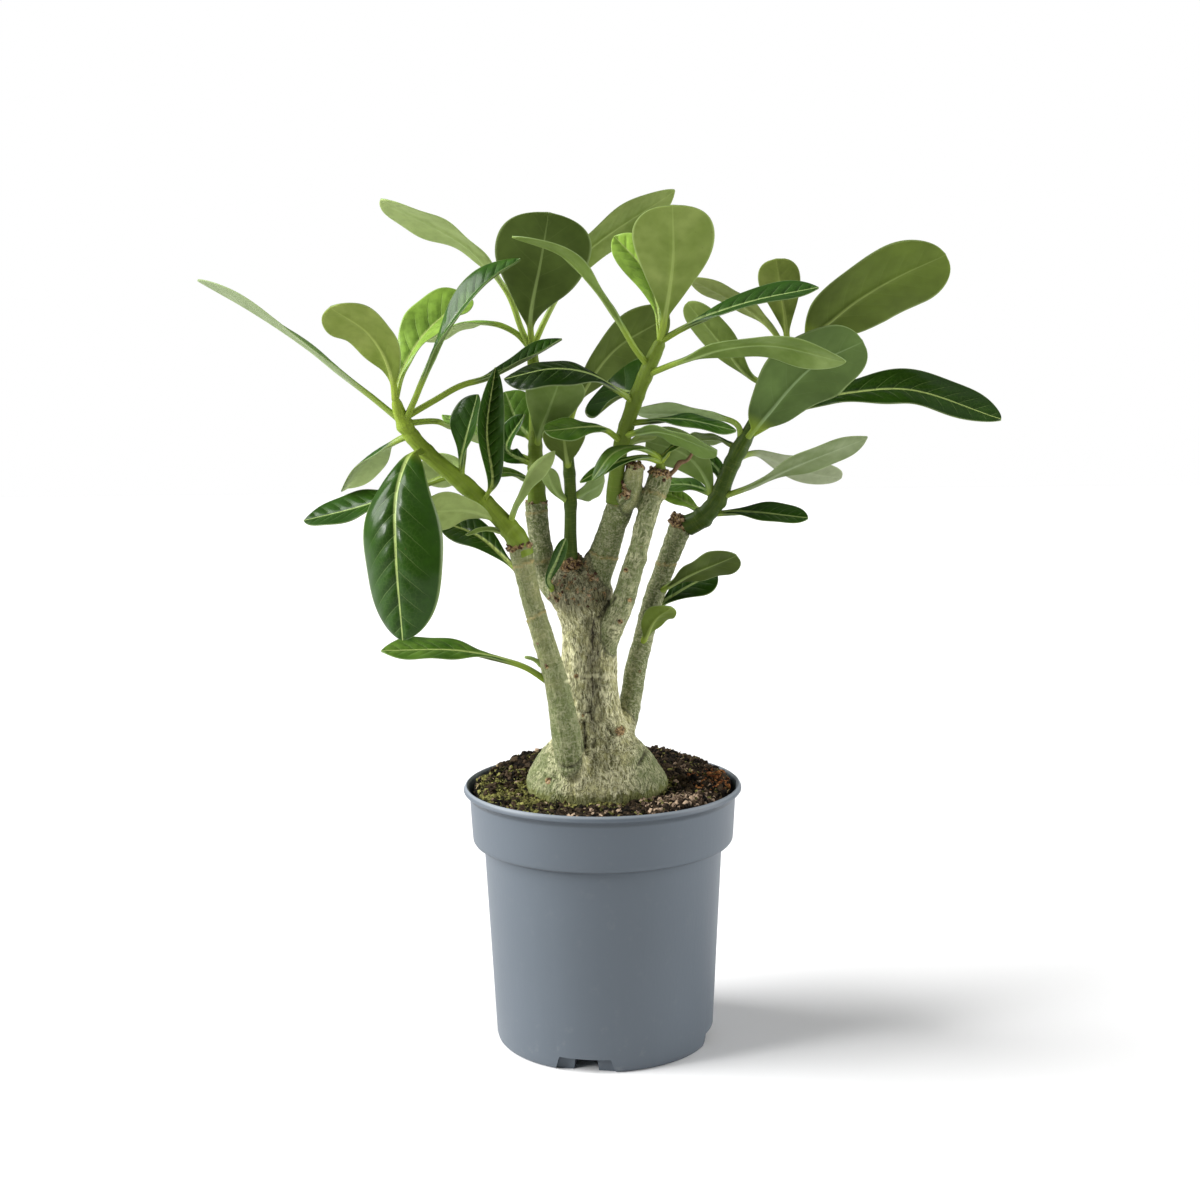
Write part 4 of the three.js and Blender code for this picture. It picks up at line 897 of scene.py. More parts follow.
def add_stem(skin, path, radii, knots=(), kind=1, facets=20, step=1.0, tone=0.5, seed=0.0, slim=1):
    """A round green stem, a little thicker where its leaves stand, with a rounded top. `slim` is how much slimmer
    it grows above its foot."""
    rows = max(6, int(path.length / step))
    shares = np.linspace(0, 1, rows)
    at = shares * path.length
    radius = path.width(radii, shares) * (1 - STEM_SLIMMING * slim * smooth_step(at, SLIMMING_FROM, SLIMMING_TO))
    for knot in knots:
        radius = radius * (1 + KNOT_SWELL * bell((shares - knot) * path.length + 1.2, 1.6))
    radius = radius * (1 - 0.5 * smooth_step(at, path.length - 7, path.length))
    close = share_of((1 - shares) * path.length / radius[-1])
    radius = radius * np.sqrt(np.clip(1 - (1 - close) ** 2, 0.01, 1))
    turn = circle(facets)
    lump = 1 + 0.04 * np.cos(3 * turn[None] + shares[:, None] * 9 + seed * 5)
    rings = tube(path, shares, radius[:, None] * lump, turn)
    place = triple(lump.shape, 0, at[:, None], np.cos(turn) * 3)
    look = triple(lump.shape, 1, (tone * (0.6 + 0.4 * shares))[:, None], seed)
    skin.add(rings, [tuple(range(facets))], kind, blade=place, look=look, trim=(0, 0, 0.5), span=(5, 0, 0))


# Marks on the bark, as seen from the front. Knots: x, z, size, height, and how dark and how ringed they are.
KNOTS = [
    (7.1, 137.5, 2.9, 1.4, 1, 0.8), (-10.8, 161.4, 1.8, 0.6, 0.8, 0), (-8, 145, 1.4, 0.5, 0.8, 0),
    (-22.6, 168.3, 1.2, 0.3, 1, 0), (-23.7, 118.2, 1.7, -0.7, 1, 0), (5.8, 180.4, 3, 0.4, 0, 1),
    (10.7, 207.4, 1.5, 0.5, 0.9, 0), (12.2, 194.8, 1.5, 0.5, 0.9, 0), (8, 185.6, 1.6, 0.7, 0.9, 0.4),
    (19.6, 210.5, 2.2, 0.9, 0.1, 0), (14.6, 225.6, 2, 0.7, 0.1, 0), (17.4, 217, 1.2, 0.3, 0.6, 0),
    (-18.6, 199.6, 3, 1.5, 0.35, 0), (-20.4, 195.4, 2.6, 1.2, 0.5, 0), (-15, 190.5, 2.6, 0.9, 0.2, 0),
    (-7.6, 201, 2.6, 0.7, 0.1, 0.4), (-2.6, 199, 2.2, 0.6, 0.5, 0), (-11, 206, 2.4, 0.6, 0.5, 0),
    (-3.6, 203.6, 2.4, 0.5, 0.8, 0), (-13, 196.6, 2.6, 0.9, 0.45, 0),
    (-26.6, 178, 1.3, 0.4, 0.6, 0), (-13.4, 176, 1.2, 0.4, 0.5, 0), (16.5, 160, 1.4, 0.5, 0.7, 0),
]
# Creases and raised seams on the front: their points (x, z), height, half width, and how dark or pale they are. The
# dark is painted shade in the creases.
SEAMS = [
    ([(-21.6, 135), (-20.2, 129.3), (-18, 125.6), (-14.4, 125), (-10.2, 126.8), (-6.8, 130.2)], -1.1, 0.9, 0.7),
    ([(-7.8, 142), (-7.4, 138), (-7.2, 132.6)], -1.3, 1.1, 1),
    ([(-0.6, 186.8), (2, 191.6), (5.4, 195.6)], -1.2, 1, 0.9),
    ([(15.2, 124.2), (18.6, 127.6)], -0.9, 0.7, 1), ([(-10.8, 161.8), (-7.4, 160.8)], -1, 0.6, 1),
    ([(-8.8, 146.4), (-5.6, 146)], -1, 0.5, 1), ([(10.6, 195.2), (13.8, 194.6)], -0.8, 0.5, 1),
    ([(6.6, 186), (9.6, 186.2)], -0.8, 0.5, 1), ([(2.4, 139.4), (4.4, 136.4)], -0.9, 0.6, 0.9),
    ([(-15, 161.8), (-9, 161.4), (-2.3, 161.7), (5.9, 160)], 0.3, 0.5, -0.8),
    ([(-17.5, 207), (-11, 207.6), (-4.6, 203), (-1.6, 198.4)], -1, 0.9, 0.8),
    ([(-5.4, 133.6), (-4.6, 128.6)], 0.3, 0.5, -0.8), ([(-13.6, 122.8), (-11.4, 119.6)], 0.2, 0.5, -0.6),
]
# Brown corky ends: the branch, and the share of its length where the cork starts.
CORKY_ENDS = {"head_stump": 0.0, "centre_stump": 0.88, "centre_right": 0.955, "right": 0.95, "front_left": 0.975,
              "back_left": 0.97, "centre": 0.98}
FLAKES = {"Number_per_area": 500000, "Smallest": 0.0006, "Largest": 0.0021, "Sink": 0.3, "Length": 1.3, "Seed": 21}
# The furrow down the trunk, the heights between which its head begins, the cut foot of the stump on it, and how far
# a mark may sink or rise.
FURROW_X, FURROW_HALF = -3.9, 4.2
HEAD_RISE = (184, 194)
CUT_FOOT = (-12.6, -5, 208.5)
DEEPEST, HIGHEST = -1.8, 1.5
# Yellowish rings of old leaf scars, as a share of the branch's length.
SCAR_RINGS = {"front_left": (0.72, 0.92), "centre": (0.4, 0.9), "centre_right": (0.88,), "right": (0.8,),
              "back_left": (0.5, 0.9)}


def swollen_rings():
    z = np.arange(38, 206.01, 1.2)
    levels = np.interp(z, SWOLLEN_STEM[:, 0], np.arange(len(SWOLLEN_STEM)))
    x, y, wide, deep = (eased(z, SWOLLEN_STEM[:, 0], SWOLLEN_STEM[:, k])[:, None] for k in range(1, 5))
    turn = circle(STEM_FACETS)[None]
    levels = levels[:, None]
    ripple = np.cos(3 * turn + 0.2 * levels) + 0.5 * np.cos(5 * turn - 0.3 * levels)
    lobe = 1 + 0.035 * ripple
    across = x + wide * lobe * np.cos(turn)
    return triple(across.shape, across, y + deep * lobe * np.sin(turn), z[:, None])


def wood_blank(voxel):
    """The swollen stem and its branches, melted into one skin."""
    skin = Skin()
    skin.add(swollen_rings(), [tuple(range(STEM_FACETS))])
    for points, radii, _ in BRANCHES.values():
        path = Path(points)
        shares = np.linspace(0, 1, int(path.length / 1.5))
        rings = tube(path, shares, path.width(radii, shares)[:, None], circle(BRANCH_FACETS))
        skin.add(rings, [tuple(range(BRANCH_FACETS))])
    blank = skin.piece("woody_stem", [])
    melt = blank.modifiers.new("melt", "REMESH")
    melt.mode = "VOXEL"
    melt.voxel_size = voxel
    smooth = blank.modifiers.new("smooth", "SMOOTH")
    smooth.factor = 0.5
    smooth.iterations = 8
    return settled(blank)


def bark_places(points):
    """For each point: its branch, its share of the branch's length, and its place in the branch's own frame."""
    stem = (Path(SWOLLEN_STEM[:, [1, 2, 0]]), SWOLLEN_STEM[:, 3:].mean(axis=1))
    lines = [stem] + [(Path(run), radii) for run, radii, _ in BRANCHES.values()]
    table = []
    for number, (path, radii) in enumerate(lines):
        shares = np.linspace(0, 1, int(path.length))
        table.append((*path.frames(shares), path.width(radii, shares), shares, shares * path.length,
                      np.full(len(shares), number)))
    centre, ahead, first, second, radius, share, reach, number = (np.concatenate(column) for column in zip(*table))
    pick = np.empty(len(points), int)
    batch = 4000
    for start in range(0, len(points), batch):
        gap = points[start:start + batch, None] - centre[None]
        pick[start:start + batch] = np.argmin(np.linalg.norm(gap, axis=-1) - radius, axis=1)
    off = points - centre[pick]
    aside, back, along = (np.einsum("ij,ij->i", off, axis[pick]) for axis in (first, second, ahead))
    return number[pick], share[pick], np.column_stack([aside, back, along + reach[pick]])


def neighbours_mean(values, edges, times):
    """Values averaged with those of their neighbours, so that one bark runs into the next."""
    count = np.bincount(edges.ravel(), minlength=len(values)).astype(float)
    for _ in range(times):
        total = np.zeros_like(values)
        np.add.at(total, edges[:, 0], values[edges[:, 1]])
        np.add.at(total, edges[:, 1], values[edges[:, 0]])
        values = 0.5 * values + 0.5 * total / (count[:, None] if values.ndim > 1 else count)
    return values


def on_branch(branch, name):
    """The points on a branch. The swollen stem has number 0, and the branches follow."""
    return branch == list(BRANCHES).index(name) + 1


def bark_traits(points, branch, share, edges):
    """How green, ringed, flecked and wrinkled the bark is at each point."""
    trait = np.array([STEM_TRAITS, *(traits for _, _, traits in BRANCHES.values())])[branch]
    z = points[:, 2]
    on_stem = branch == 0
    low = smooth_step(140 - z, 0, 18)
    head = smooth_step(z, *HEAD_RISE)
    side = smooth_step(abs(points[:, 0] + 2), 5, 24)
    trait[:, 0] = np.where(on_stem, 0.22 + low * (side * 0.9 - 0.1) - head * 0.1, trait[:, 0])
    trait[:, 0] += on_branch(branch, "right") * (0.25 * smooth_step(share, 0.3, 0.8) - 0.12)
    trait[:, 3] *= 1 - on_stem * low * side * 0.55
    foot = on_branch(branch, "front_left") * (1 - smooth_step(share, 0.1, 0.6))
    trait += foot[:, None] * (0.7, 0, 0.3, 0.1)
    return neighbours_mean(trait, edges, 10)


def press_branches(branch, share, grain, ragged, lift):
    """Leaf scars round the branches and cork on their ends."""
    scar, crust = np.zeros(len(share)), np.zeros(len(share))
    for name, rings in SCAR_RINGS.items():
        here = on_branch(branch, name)
        length = Path(BRANCHES[name][0]).length
        tilt = (grain[:, 0] * 0.18 + rough_field(grain, (0.2, 0.2, 0.02), 2, 6.6) * 0.9) * here
        for place in rings:
            away = (share - place) * length + tilt
            band = bell(away, 0.5) * here
            scar = np.maximum(scar, band * 0.8)
            lift = lift + band * 0.3 - 0.3 * bell(away - 1.1, 0.6) * here
    for name, start in CORKY_ENDS.items():
        here = on_branch(branch, name)
        length = Path(BRANCHES[name][0]).length
        end = here * smooth_step(share + ragged * 1.6 / length, start, start + 1.6 / length)
        crust = np.maximum(crust, end)
        lift = lift + end * ragged * 0.9
    return lift, scar, crust


def press_knots(points, front, ragged, lift, crust):
    """Knots, creases and seams on the front, with how dark, pale and corky they make it. The dark of the creases is
    painted shade.
    """
    pit_and_crease_shade, line = np.zeros(len(points)), np.zeros(len(points))
    seen = points[:, ::2]
    for x, at, size, height, dark, ringed_by in KNOTS:
        away = np.linalg.norm(seen - (x, at), axis=1) / size
        lift = lift + height * (bell(away) * front) - 0.5 * dark * bell(away * 2.4) * front
        pit_and_crease_shade = np.maximum(pit_and_crease_shade, dark * bell(away * 1.9) * front)
        crust = np.maximum(crust, 0.9 * dark * bell(away * 1.15) * front)
        ripple = ringed_by * np.cos(away * size * 4.2 + ragged * 4) * bell(away, 1.5) * front
        lift = lift + ripple * 0.3
        line = np.maximum(line, ripple)
    for run, height, width, dark in SEAMS:
        run = np.array(run, float)
        away = np.full(len(points), 99.0)
        for start, end in zip(run[:-1], run[1:]):
            reach = end - start
            along = share_of((seen - start) @ reach / (reach @ reach))
            away = np.minimum(away, np.linalg.norm(seen - start - along[:, None] * reach, axis=1))
        mound = bell(away, width) * front
        lift = lift + height * mound
        # Painted shade along the creases.
        pit_and_crease_shade = np.maximum(pit_and_crease_shade, dark * mound)
        line = np.maximum(line, -dark * mound)
    return lift, crust, pit_and_crease_shade, line


def carve_bark(blank, depth):
    """Wrinkles, rings, knots and corky ends pressed into the skin, with the marks for its finish, painted shade
    among them.
    """
    mesh = blank.data
    points = read_off(mesh.vertices, "co", 3) / MM
    normals = read_off(mesh.vertices, "normal", 3)
    edges = read_off(mesh.edges, "vertices", 2, int)
    branch, share, grain = bark_places(points)
    trait = bark_traits(points, branch, share, edges)
    z = points[:, 2]
    head = smooth_step(z, *HEAD_RISE)

    front = smooth_step(-normals[:, 1], 0, 0.3)
    ridge = 1 - np.abs(rough_field(points, (0.3, 0.3, 0.07), 3, 3.1)) * 3
    wrinkle = rough_field(points, (0.45, 0.45, 0.3), 3, 8.5)
    broad = rough_field(points, (0.07, 0.07, 0.05), 2, 1.7)
    ringed = rough_field(grain, (0.04, 0.04, 0.3), 2, 5.2)
    on_bole = neighbours_mean((branch == 0).astype(float), edges, 12)
    trunk = on_bole * smooth_step(z, 122, 146) * (1 - head)
    lift = on_bole * (ridge - 0.5) * 0.34 + wrinkle * 0.2 + broad * (0.3 + 0.5 * on_bole)
    lift = lift + ringed * (0.1 + 0.28 * trait[:, 1]) * (1 - on_bole)
    lift = lift + head * on_bole * rough_field(points, (0.13, 0.13, 0.13), 2, 4.4) * 1.5
    sway = rough_field(points, (0, 0, 0.06), 2, 9) * 1.6
    furrow = trunk * front * bell(points[:, 0] - FURROW_X + sway, FURROW_HALF)
    lift = lift - furrow * 1.2

    ragged = rough_field(points, (0.5, 0.5, 0.5), 3, 2.2)
    lift, scar, crust = press_branches(branch, share, grain, ragged, lift)
    lift, crust, pit_and_crease_shade, line = press_knots(points, front, ragged, lift, crust)
    lift = np.clip(lift * depth, DEEPEST, HIGHEST)
    mesh.vertices.foreach_set("co", ((points + normals * lift[:, None]) * MM).ravel())
    mesh.update()

    smooth = neighbours_mean(lift, edges, 6)
    # Painted shade in hollows of the skin and down the furrow of the trunk, then a patch of painted shade on the
    # head of the stem; the whole head is darkened too, and the pits bring dark knot centres and painted shade in
    # creases.
    shade_and_pits = share_of((smooth - lift) * 1.6 + furrow * 0.74)
    shade = head * on_bole * front * np.exp(-((points[:, 0] - 1) / 4) ** 2 - ((z - 194) / 7) ** 2)
    shade_and_pits = np.maximum(shade_and_pits, np.maximum(shade * 0.9, head * on_bole * 0.8))
    crust = np.maximum(crust, head * on_bole * front * np.clip(0.28 + ragged * 0.6, 0, 0.6))
    foot = np.linalg.norm(points - CUT_FOOT, axis=1)
    crust = np.maximum(crust, 0.95 * (1 - smooth_step(foot, 3.4, 6.2)))
    shade_and_pits = share_of(np.maximum(shade_and_pits, pit_and_crease_shade * 0.95))
    ground = peat_height(points[:, 0], points[:, 1])
    moss = smooth_step(ground + 7 + ragged * 3 - z, 0, 6)
    lay_mark(mesh, "grain", grain)
    lay_mark(mesh, "bark", trait[:, :3])
    lay_mark(mesh, "wear", np.column_stack([crust, shade_and_pits, moss]))
    lay_mark(mesh, "scar", np.column_stack([scar, line, trait[:, 3]]))
    return crust


def peat_height(x, y):
    rise = PEAT_LEVEL + PEAT_BACK_RISE * smooth_step(y, -10, 50)
    for mx, my, height, spread in PEAT_MOUNDS:
        rise = rise + height * hill(x, y, mx, my, spread ** 2)
    return rise


def peat_rings():
    """The peat from its flat underside, up the wall of the pot and over its lumpy top to the middle."""
    turn = circle(PEAT_FACETS)
    rings = [triple(turn.shape, r * np.cos(turn), r * np.sin(turn), z) for r, z in PEAT_WALL]
    radii = np.concatenate([np.linspace(PEAT_RADIUS, 54.6, 3), np.arange(53.8, 15, -0.9)])
    for radius in radii:
        x, y = radius * np.cos(turn), radius * np.sin(turn)
        z = peat_height(x, y)
        flat = triple(turn.shape, x, y, 0)
        lump = rough_field(flat, (0.13, 0.13, 1), 3, 7.7) * 1.5 + rough_field(flat, (0.5, 0.5, 1), 3, 1.2) * 0.7
        edge = smooth_step(radius, 51.5, PEAT_RADIUS)
        rings.append(triple(turn.shape, x, y, z + lump - edge * 0.7))
    return np.stack(rings)


def peat_marks(x, y, z):
    """Where crumbs, grit, moss and fibres lie on the peat, from 0 to 1."""
    stem_x, stem_y, wide, deep = STEM_IN_PEAT
    stem = np.hypot((x - stem_x) / wide, (y - stem_y) / deep)
    top = (z > PEAT_SEEN_ABOVE) * smooth_step(stem, 0.9, 1.0)
    top = top * smooth_step(PEAT_SEEN_WITHIN - np.hypot(x, y), 0, 0.8)
    patch = rough_field(np.column_stack([x, y, z]), (0.09, 0.09, 0.09), 2, 9.1)
    clump = hill(x, y, *GRIT_HEAP) + 0.4 * hill(x, y, *GRIT_FRONT)
    left_x, left_y, wide, deep = MOSS_LEFT
    green = 1.3 * np.exp(-((x - left_x) ** 2 / wide ** 2 + (y - left_y) ** 2 / deep ** 2))
    green = np.maximum(green, 1.0 * bell(stem - 1, 0.16) * (y < 10))
    green = np.maximum(green, 0.5 * hill(x, y, *MOSS_BACK))
    held = smooth_step(patch, -0.5, -0.05)
    return {
        "crumb": top * (1 - 0.8 * share_of(np.maximum(green * 1.2, clump) * held)),
        "grit": top * share_of(clump * 1.3 + 0.06) * smooth_step(patch, -0.5, 0),
        "moss": top * share_of(green * 1.3 + 0.05) * held,
        "fibre": top * smooth_step(patch, 0.05, 0.5),
        "rust": top * hill(x, y, *RUST_HEAP),
    }


def scatter_tree(name, finish_of, facets, rough):
    """A tree that strews small lumps over the faces that carry a mark."""
    tree = bpy.data.node_groups.new(name, "GeometryNodeTree")
    tree.is_modifier = True
    face = tree.interface
    face.new_socket("Geometry", in_out="INPUT", socket_type="NodeSocketGeometry")
    for socket, value in (("Number per area", 1e5), ("Smallest", 0.3), ("Largest", 1.0), ("Sink", 0.2),
                          ("Length", 1.0)):
        face.new_socket(socket, in_out="INPUT", socket_type="NodeSocketFloat").default_value = value
    face.new_socket("Seed", in_out="INPUT", socket_type="NodeSocketInt").default_value = 1
    face.new_socket("Geometry", in_out="OUTPUT", socket_type="NodeSocketGeometry")
    bench = Bench(tree)
    given = bench.node("NodeGroupInput")
    where = bench.node("GeometryNodeInputNamedAttribute", {"data_type": "FLOAT"}, {"Name": name})["Attribute"]
    dots = bench.node("GeometryNodeDistributePointsOnFaces", {}, {
        "Mesh": given["Geometry"], "Density": where * given["Number per area"], "Seed": given["Seed"]})
    lump = bench.node("GeometryNodeMeshUVSphere", {}, {"Segments": facets, "Rings": max(3, facets // 2 + 1),
                                                      "Radius": 0.5})
    dent = bench.drift(bench.node("GeometryNodeInputPosition"), 2.2, 2.0)
    shift = bench.vector("SCALE", bench.vector("SUBTRACT", dent, (0.5, 0.5, 0.5)), rough)
    lump = bench.node("GeometryNodeSetPosition", {}, {"Geometry": lump, "Offset": shift})
    size = bench.draw(11, given["Smallest"], given["Largest"], ID=bench.node("GeometryNodeInputIndex"))
    squash = bench.vector("SCALE", bench.draw(12, (0.55, 0.55, 0.5), (1.25, 1.25, 1.0)), size)
    squash = bench.vector("MULTIPLY", squash, bench.join(1.0, 1.0, given["Length"]))
    turn = bench.draw(13, (-0.9, -0.9, -3.14), (0.9, 0.9, 3.14))
    face_turn = bench.node("FunctionNodeRotateRotation", {"rotation_space": "LOCAL"}, {
        "Rotation": dots["Rotation"], "Rotate By": bench.node("FunctionNodeEulerToRotation", {}, {0: turn})})
    set_out = bench.node("GeometryNodeInstanceOnPoints", {}, {
        "Points": dots, "Instance": lump, "Rotation": face_turn, "Scale": squash})
    set_out = bench.node("GeometryNodeStoreNamedAttribute", {"data_type": "FLOAT", "domain": "INSTANCE"}, {
        "Geometry": set_out, "Name": "shade", "Value": bench.draw(14, 0.0, 1.0)})
    down = bench.join(0.0, 0.0, given["Sink"] * size)
    set_out = bench.node("GeometryNodeTranslateInstances", {}, {
        "Instances": set_out, "Translation": down, "Local Space": True})
    real = bench.node("GeometryNodeRealizeInstances", {}, {"Geometry": set_out})
    done = bench.node("GeometryNodeSetMaterial", {}, {"Geometry": real, "Material": finish_of})
    bench.node("NodeGroupOutput", {}, {"Geometry": done})
    return tree


def strew(name, ground, mark, finish_of, facets, rough, **sizes):
    """Lumps strewn over a copy of the ground, as a plain mesh."""
    made = put_in(name, ground.data.copy())
    tree = scatter_tree(mark, finish_of, facets, rough)
    strewn = made.modifiers.new("strewn", "NODES")
    strewn.node_group = tree
    inputs = {item.name: item.identifier for item in tree.interface.items_tree if item.in_out == "INPUT"}
    for socket, value in sizes.items():
        strewn[inputs[socket.replace("_", " ")]] = value
    settled(made)
    made.data.shade_flat()
    return made


def paint(name, description, default):
    """A colour that can be set."""
    return bpy.props.FloatVectorProperty(
        name=name, description=description, default=default, subtype="COLOR", min=0, max=1)


def strength(name, description, default, highest=50):
    """The strength of a light."""
    return bpy.props.FloatProperty(name=name, description=description, default=default, min=0, max=highest)


def measure(name, description, default, lowest, highest):
    """A length that can be set, in metres."""
    return bpy.props.FloatProperty(
        name=name, description=description, default=default, unit="LENGTH", min=lowest, max=highest, precision=4)


class PotSizes(bpy.types.PropertyGroup):
    plastic: paint("Plastic", "Colour of the pot", (0.088, 0.106, 0.126))
    notch_width: measure("Notch width", "Width of a foot notch", 0.022, 0.005, 0.04)
    slot_width: measure("Slot width", "Width of a slot in the inner foot ring", 0.009, 0.002, 0.02)


class LeafSizes(bpy.types.PropertyGroup):
    upper: paint("Upper side", "Green of a leaf's upper side", (0.022, 0.068, 0.004))
    upper_light: paint("Young upper side", "Green of a young leaf's upper side", (0.26, 0.43, 0.085))
    under: paint("Underside", "Green of a leaf's underside", (0.13, 0.19, 0.045))
    under_light: paint("Pale underside", "Green of a pale underside", (0.38, 0.46, 0.2))
    rib: paint("Rib", "Colour of the middle rib", (0.38, 0.48, 0.2))
    vein: paint("Veins", "Colour of the side veins", (0.24, 0.36, 0.14))
    shoot: paint("Green stems", "Colour of the young stems", (0.24, 0.33, 0.032))


class BarkSizes(bpy.types.PropertyGroup):
    pale_bark: paint("Pale bark", "Tan of the old bark", (0.43, 0.41, 0.182))
    green_bark: paint("Green bark", "Green of the younger bark", (0.122, 0.153, 0.049))
    cream: paint("Wrinkle lines", "Colour of the fine wrinkle lines", (0.8, 0.77, 0.48))
    fleck: paint("Flecks", "Colour of the scaly flecks", (0.5, 0.5, 0.31))
    moss_stain: paint("Moss stain", "Green where the bark meets the peat", (0.13, 0.14, 0.03))
    grain_size: measure("Grain size", "Cell size of the bark's skin", 0.0008, 0.0004, 0.003)
    wrinkle_depth: bpy.props.FloatProperty(
        name="Wrinkle depth", description="Strength of the bark's wrinkles", default=1.0, subtype="FACTOR", min=0,
        max=2)


class PeatSizes(bpy.types.PropertyGroup):
    peat: paint("Peat", "Colour of the peat", (0.018, 0.013, 0.008))
    moss: paint("Moss", "Colour of the moss", (0.155, 0.15, 0.045))
    grit: paint("Grit", "Colour of the pale grit", (0.47, 0.345, 0.24))
    crumbs: bpy.props.FloatProperty(
        name="Crumbs", description="Peat crumbs on a square metre", default=420000, min=0, max=2000000)
    seed: bpy.props.IntProperty(name="Seed", description="Seed of the strewn grains", default=4, min=0, max=1000)


class StudioSizes(bpy.types.PropertyGroup):
    floor: paint("Floor", "Colour of the floor", (0.9, 0.9, 0.9))
    key_power: strength("Key light", "Strength of the large soft light at the left", 5.3)
    window_power: strength("Window", "Strength of the small bright light at the left front", 1.6)
    fill_power: strength("Fill light", "Strength of the weak light at the right", 3.2)
    top_power: strength("Top light", "Strength of the weak light overhead", 0.4)
    sky: strength("Room light", "Strength of the even room light", 0.08, 5)


class PlantSettings(bpy.types.PropertyGroup):
    pot: bpy.props.PointerProperty(type=PotSizes, name="Pot", description="Pot")
    leaf: bpy.props.PointerProperty(type=LeafSizes, name="Leaves", description="Leaves")
    bark: bpy.props.PointerProperty(type=BarkSizes, name="Bark", description="Bark")
    peat: bpy.props.PointerProperty(type=PeatSizes, name="Peat", description="Peat")
    studio: bpy.props.PointerProperty(type=StudioSizes, name="Studio", description="Studio")


def box_skin(skin, width, turn, splay, low, high, near, far):
    """A block across the foot of the pot, wider below, at a turn about the axis."""
    a = math.radians(turn)
    out, along = np.array((math.cos(a), math.sin(a), 0)), np.array((-math.sin(a), math.cos(a), 0))
    corners = ((-width / 2 - splay, low), (width / 2 + splay, low), (width / 2, high), (-width / 2, high))
    rings = [[out * radius + along * x + np.array((0, 0, z)) for x, z in corners] for radius in (near, far)]
    skin.add(np.array(rings), [(0, 1, 2, 3)])


def drain_hole(skin, distance, turn):
    """A round plug through the floor of the pot."""
    a = math.radians(turn)
    hole = circle(DRAIN_FACETS)
    ring = triple(hole.shape, distance * math.cos(a) + DRAIN_RADIUS * np.cos(hole),
                  distance * math.sin(a) + DRAIN_RADIUS * np.sin(hole), 0)
    skin.add(np.stack([ring + (0, 0, z) for z in (DRAIN_LOW, DRAIN_HIGH)]), [tuple(range(DRAIN_FACETS))])


class PLANT_OT_pot(bpy.types.Operator):
    """Makes the nursery pot, with its collar, flared lip and notched foot"""
    bl_idname = "plant.pot"
    bl_label = "Pot"

    def execute(self, context):
        sizes = context.scene.desert_rose.pot
        turn = circle(POT_FACETS)
        outline = np.array(POT_OUTLINE[1:-1], float)
        radius, height = outline[:, :1], outline[:, 1:]
        shell = Skin()
        shell.add(triple((len(outline), POT_FACETS), radius * np.cos(turn), radius * np.sin(turn), height),
                  [tuple(range(POT_FACETS))])
        pot = shell.piece("pot_shell", [])
        width, slot = sizes.notch_width / MM, sizes.slot_width / MM
        housing, cuts = Skin(), Skin()
        for quarter in range(4):
            at = NOTCH_TURN + quarter * 90
            box_skin(housing, width + HOUSING_MARGIN, at, *FOOT_HOUSING)
            box_skin(cuts, width, at, *FOOT_NOTCH)
            box_skin(cuts, slot, at, *FOOT_SLOT)
            drain_hole(cuts, DRAIN_DISTANCE, at + 45)
            if quarter == 0:
                drain_hole(cuts, 0, at + 45)
        for name, tool, operation in (("housing", housing, "UNION"), ("cuts", cuts, "DIFFERENCE")):
            helper = tool.piece(name, [])
            cut = pot.modifiers.new(name, "BOOLEAN")
            cut.operation = operation
            cut.solver = "EXACT"
            cut.use_self = True
            cut.object = helper
            settled(pot)
            bpy.data.objects.remove(helper)
        pot.data.materials.clear()
        pot.data.materials.append(finish("nursery plastic", pot_plastic, sizes))
        pot.data.shade_smooth()
        pot.data.set_sharp_from_angle(angle=math.radians(POT_SHARP))
        place_piece(pot, "plastic", "pot")
        return {"FINISHED"}


class PLANT_OT_peat(bpy.types.Operator):
    """Makes the peat, with its crumbs, pale grit and moss"""
    bl_idname = "plant.peat"
    bl_label = "Peat"

    def execute(self, context):
        sizes = context.scene.desert_rose.peat
        skin = Skin()
        skin.add(peat_rings(), [tuple(range(PEAT_FACETS))])
        bed = skin.piece("peat_bed", [finish("damp peat", peat_ground, sizes)])
        mesh = bed.data
        for name, values in peat_marks(*(read_off(mesh.vertices, "co", 3) / MM).T).items():
            lay_mark(mesh, name, values)
        colours = {
            "peat crumbs": CRUMBS, "pale grit": (GRIT_DIRT, toned(sizes.grit, 1.1), 0.7),
            "moss tufts": (toned(sizes.moss, 0.06), toned(sizes.moss, 1.9)), "old fibres": STRAW,
            "rusty fibres": RUST,
        }
        strewn = []
        for place, (name, row) in enumerate(STREWN.items()):
            mark, tone, facets, rough, share, smallest, largest, sink, length = row
            strewn.append(strew(
                name, bed, mark, finish(tone, loose_grain, *colours[tone]), facets, rough,
                Number_per_area=sizes.crumbs * share, Smallest=smallest, Largest=largest, Sink=sink, Length=length,
                Seed=sizes.seed + place))
        place_piece(bed, "peat", "peat")
        for heap in strewn:
            place_piece(heap, "peat")
        return {"FINISHED"}


class PLANT_OT_wood(bpy.types.Operator):
    """Makes the swollen stem and its woody branches as one skin with wrinkled bark"""
    bl_idname = "plant.wood"
    bl_label = "Woody stem"

    def execute(self, context):
        sizes = context.scene.desert_rose.bark
        blank = wood_blank(sizes.grain_size)
        crust = carve_bark(blank, sizes.wrinkle_depth)
        blank.data.materials.append(finish("wrinkled bark", wrinkled_bark, sizes))
        blank.data.shade_smooth()
        lay_mark(blank.data, "flake", share_of(crust) ** 2)
        flakes = strew("bark_flakes", blank, "flake", finish("torn bark", loose_grain, *TORN_BARK), 6, 0.8, **FLAKES)
        place_piece(blank, "bark", "wood")
        place_piece(flakes, "bark")
        return {"FINISHED"}


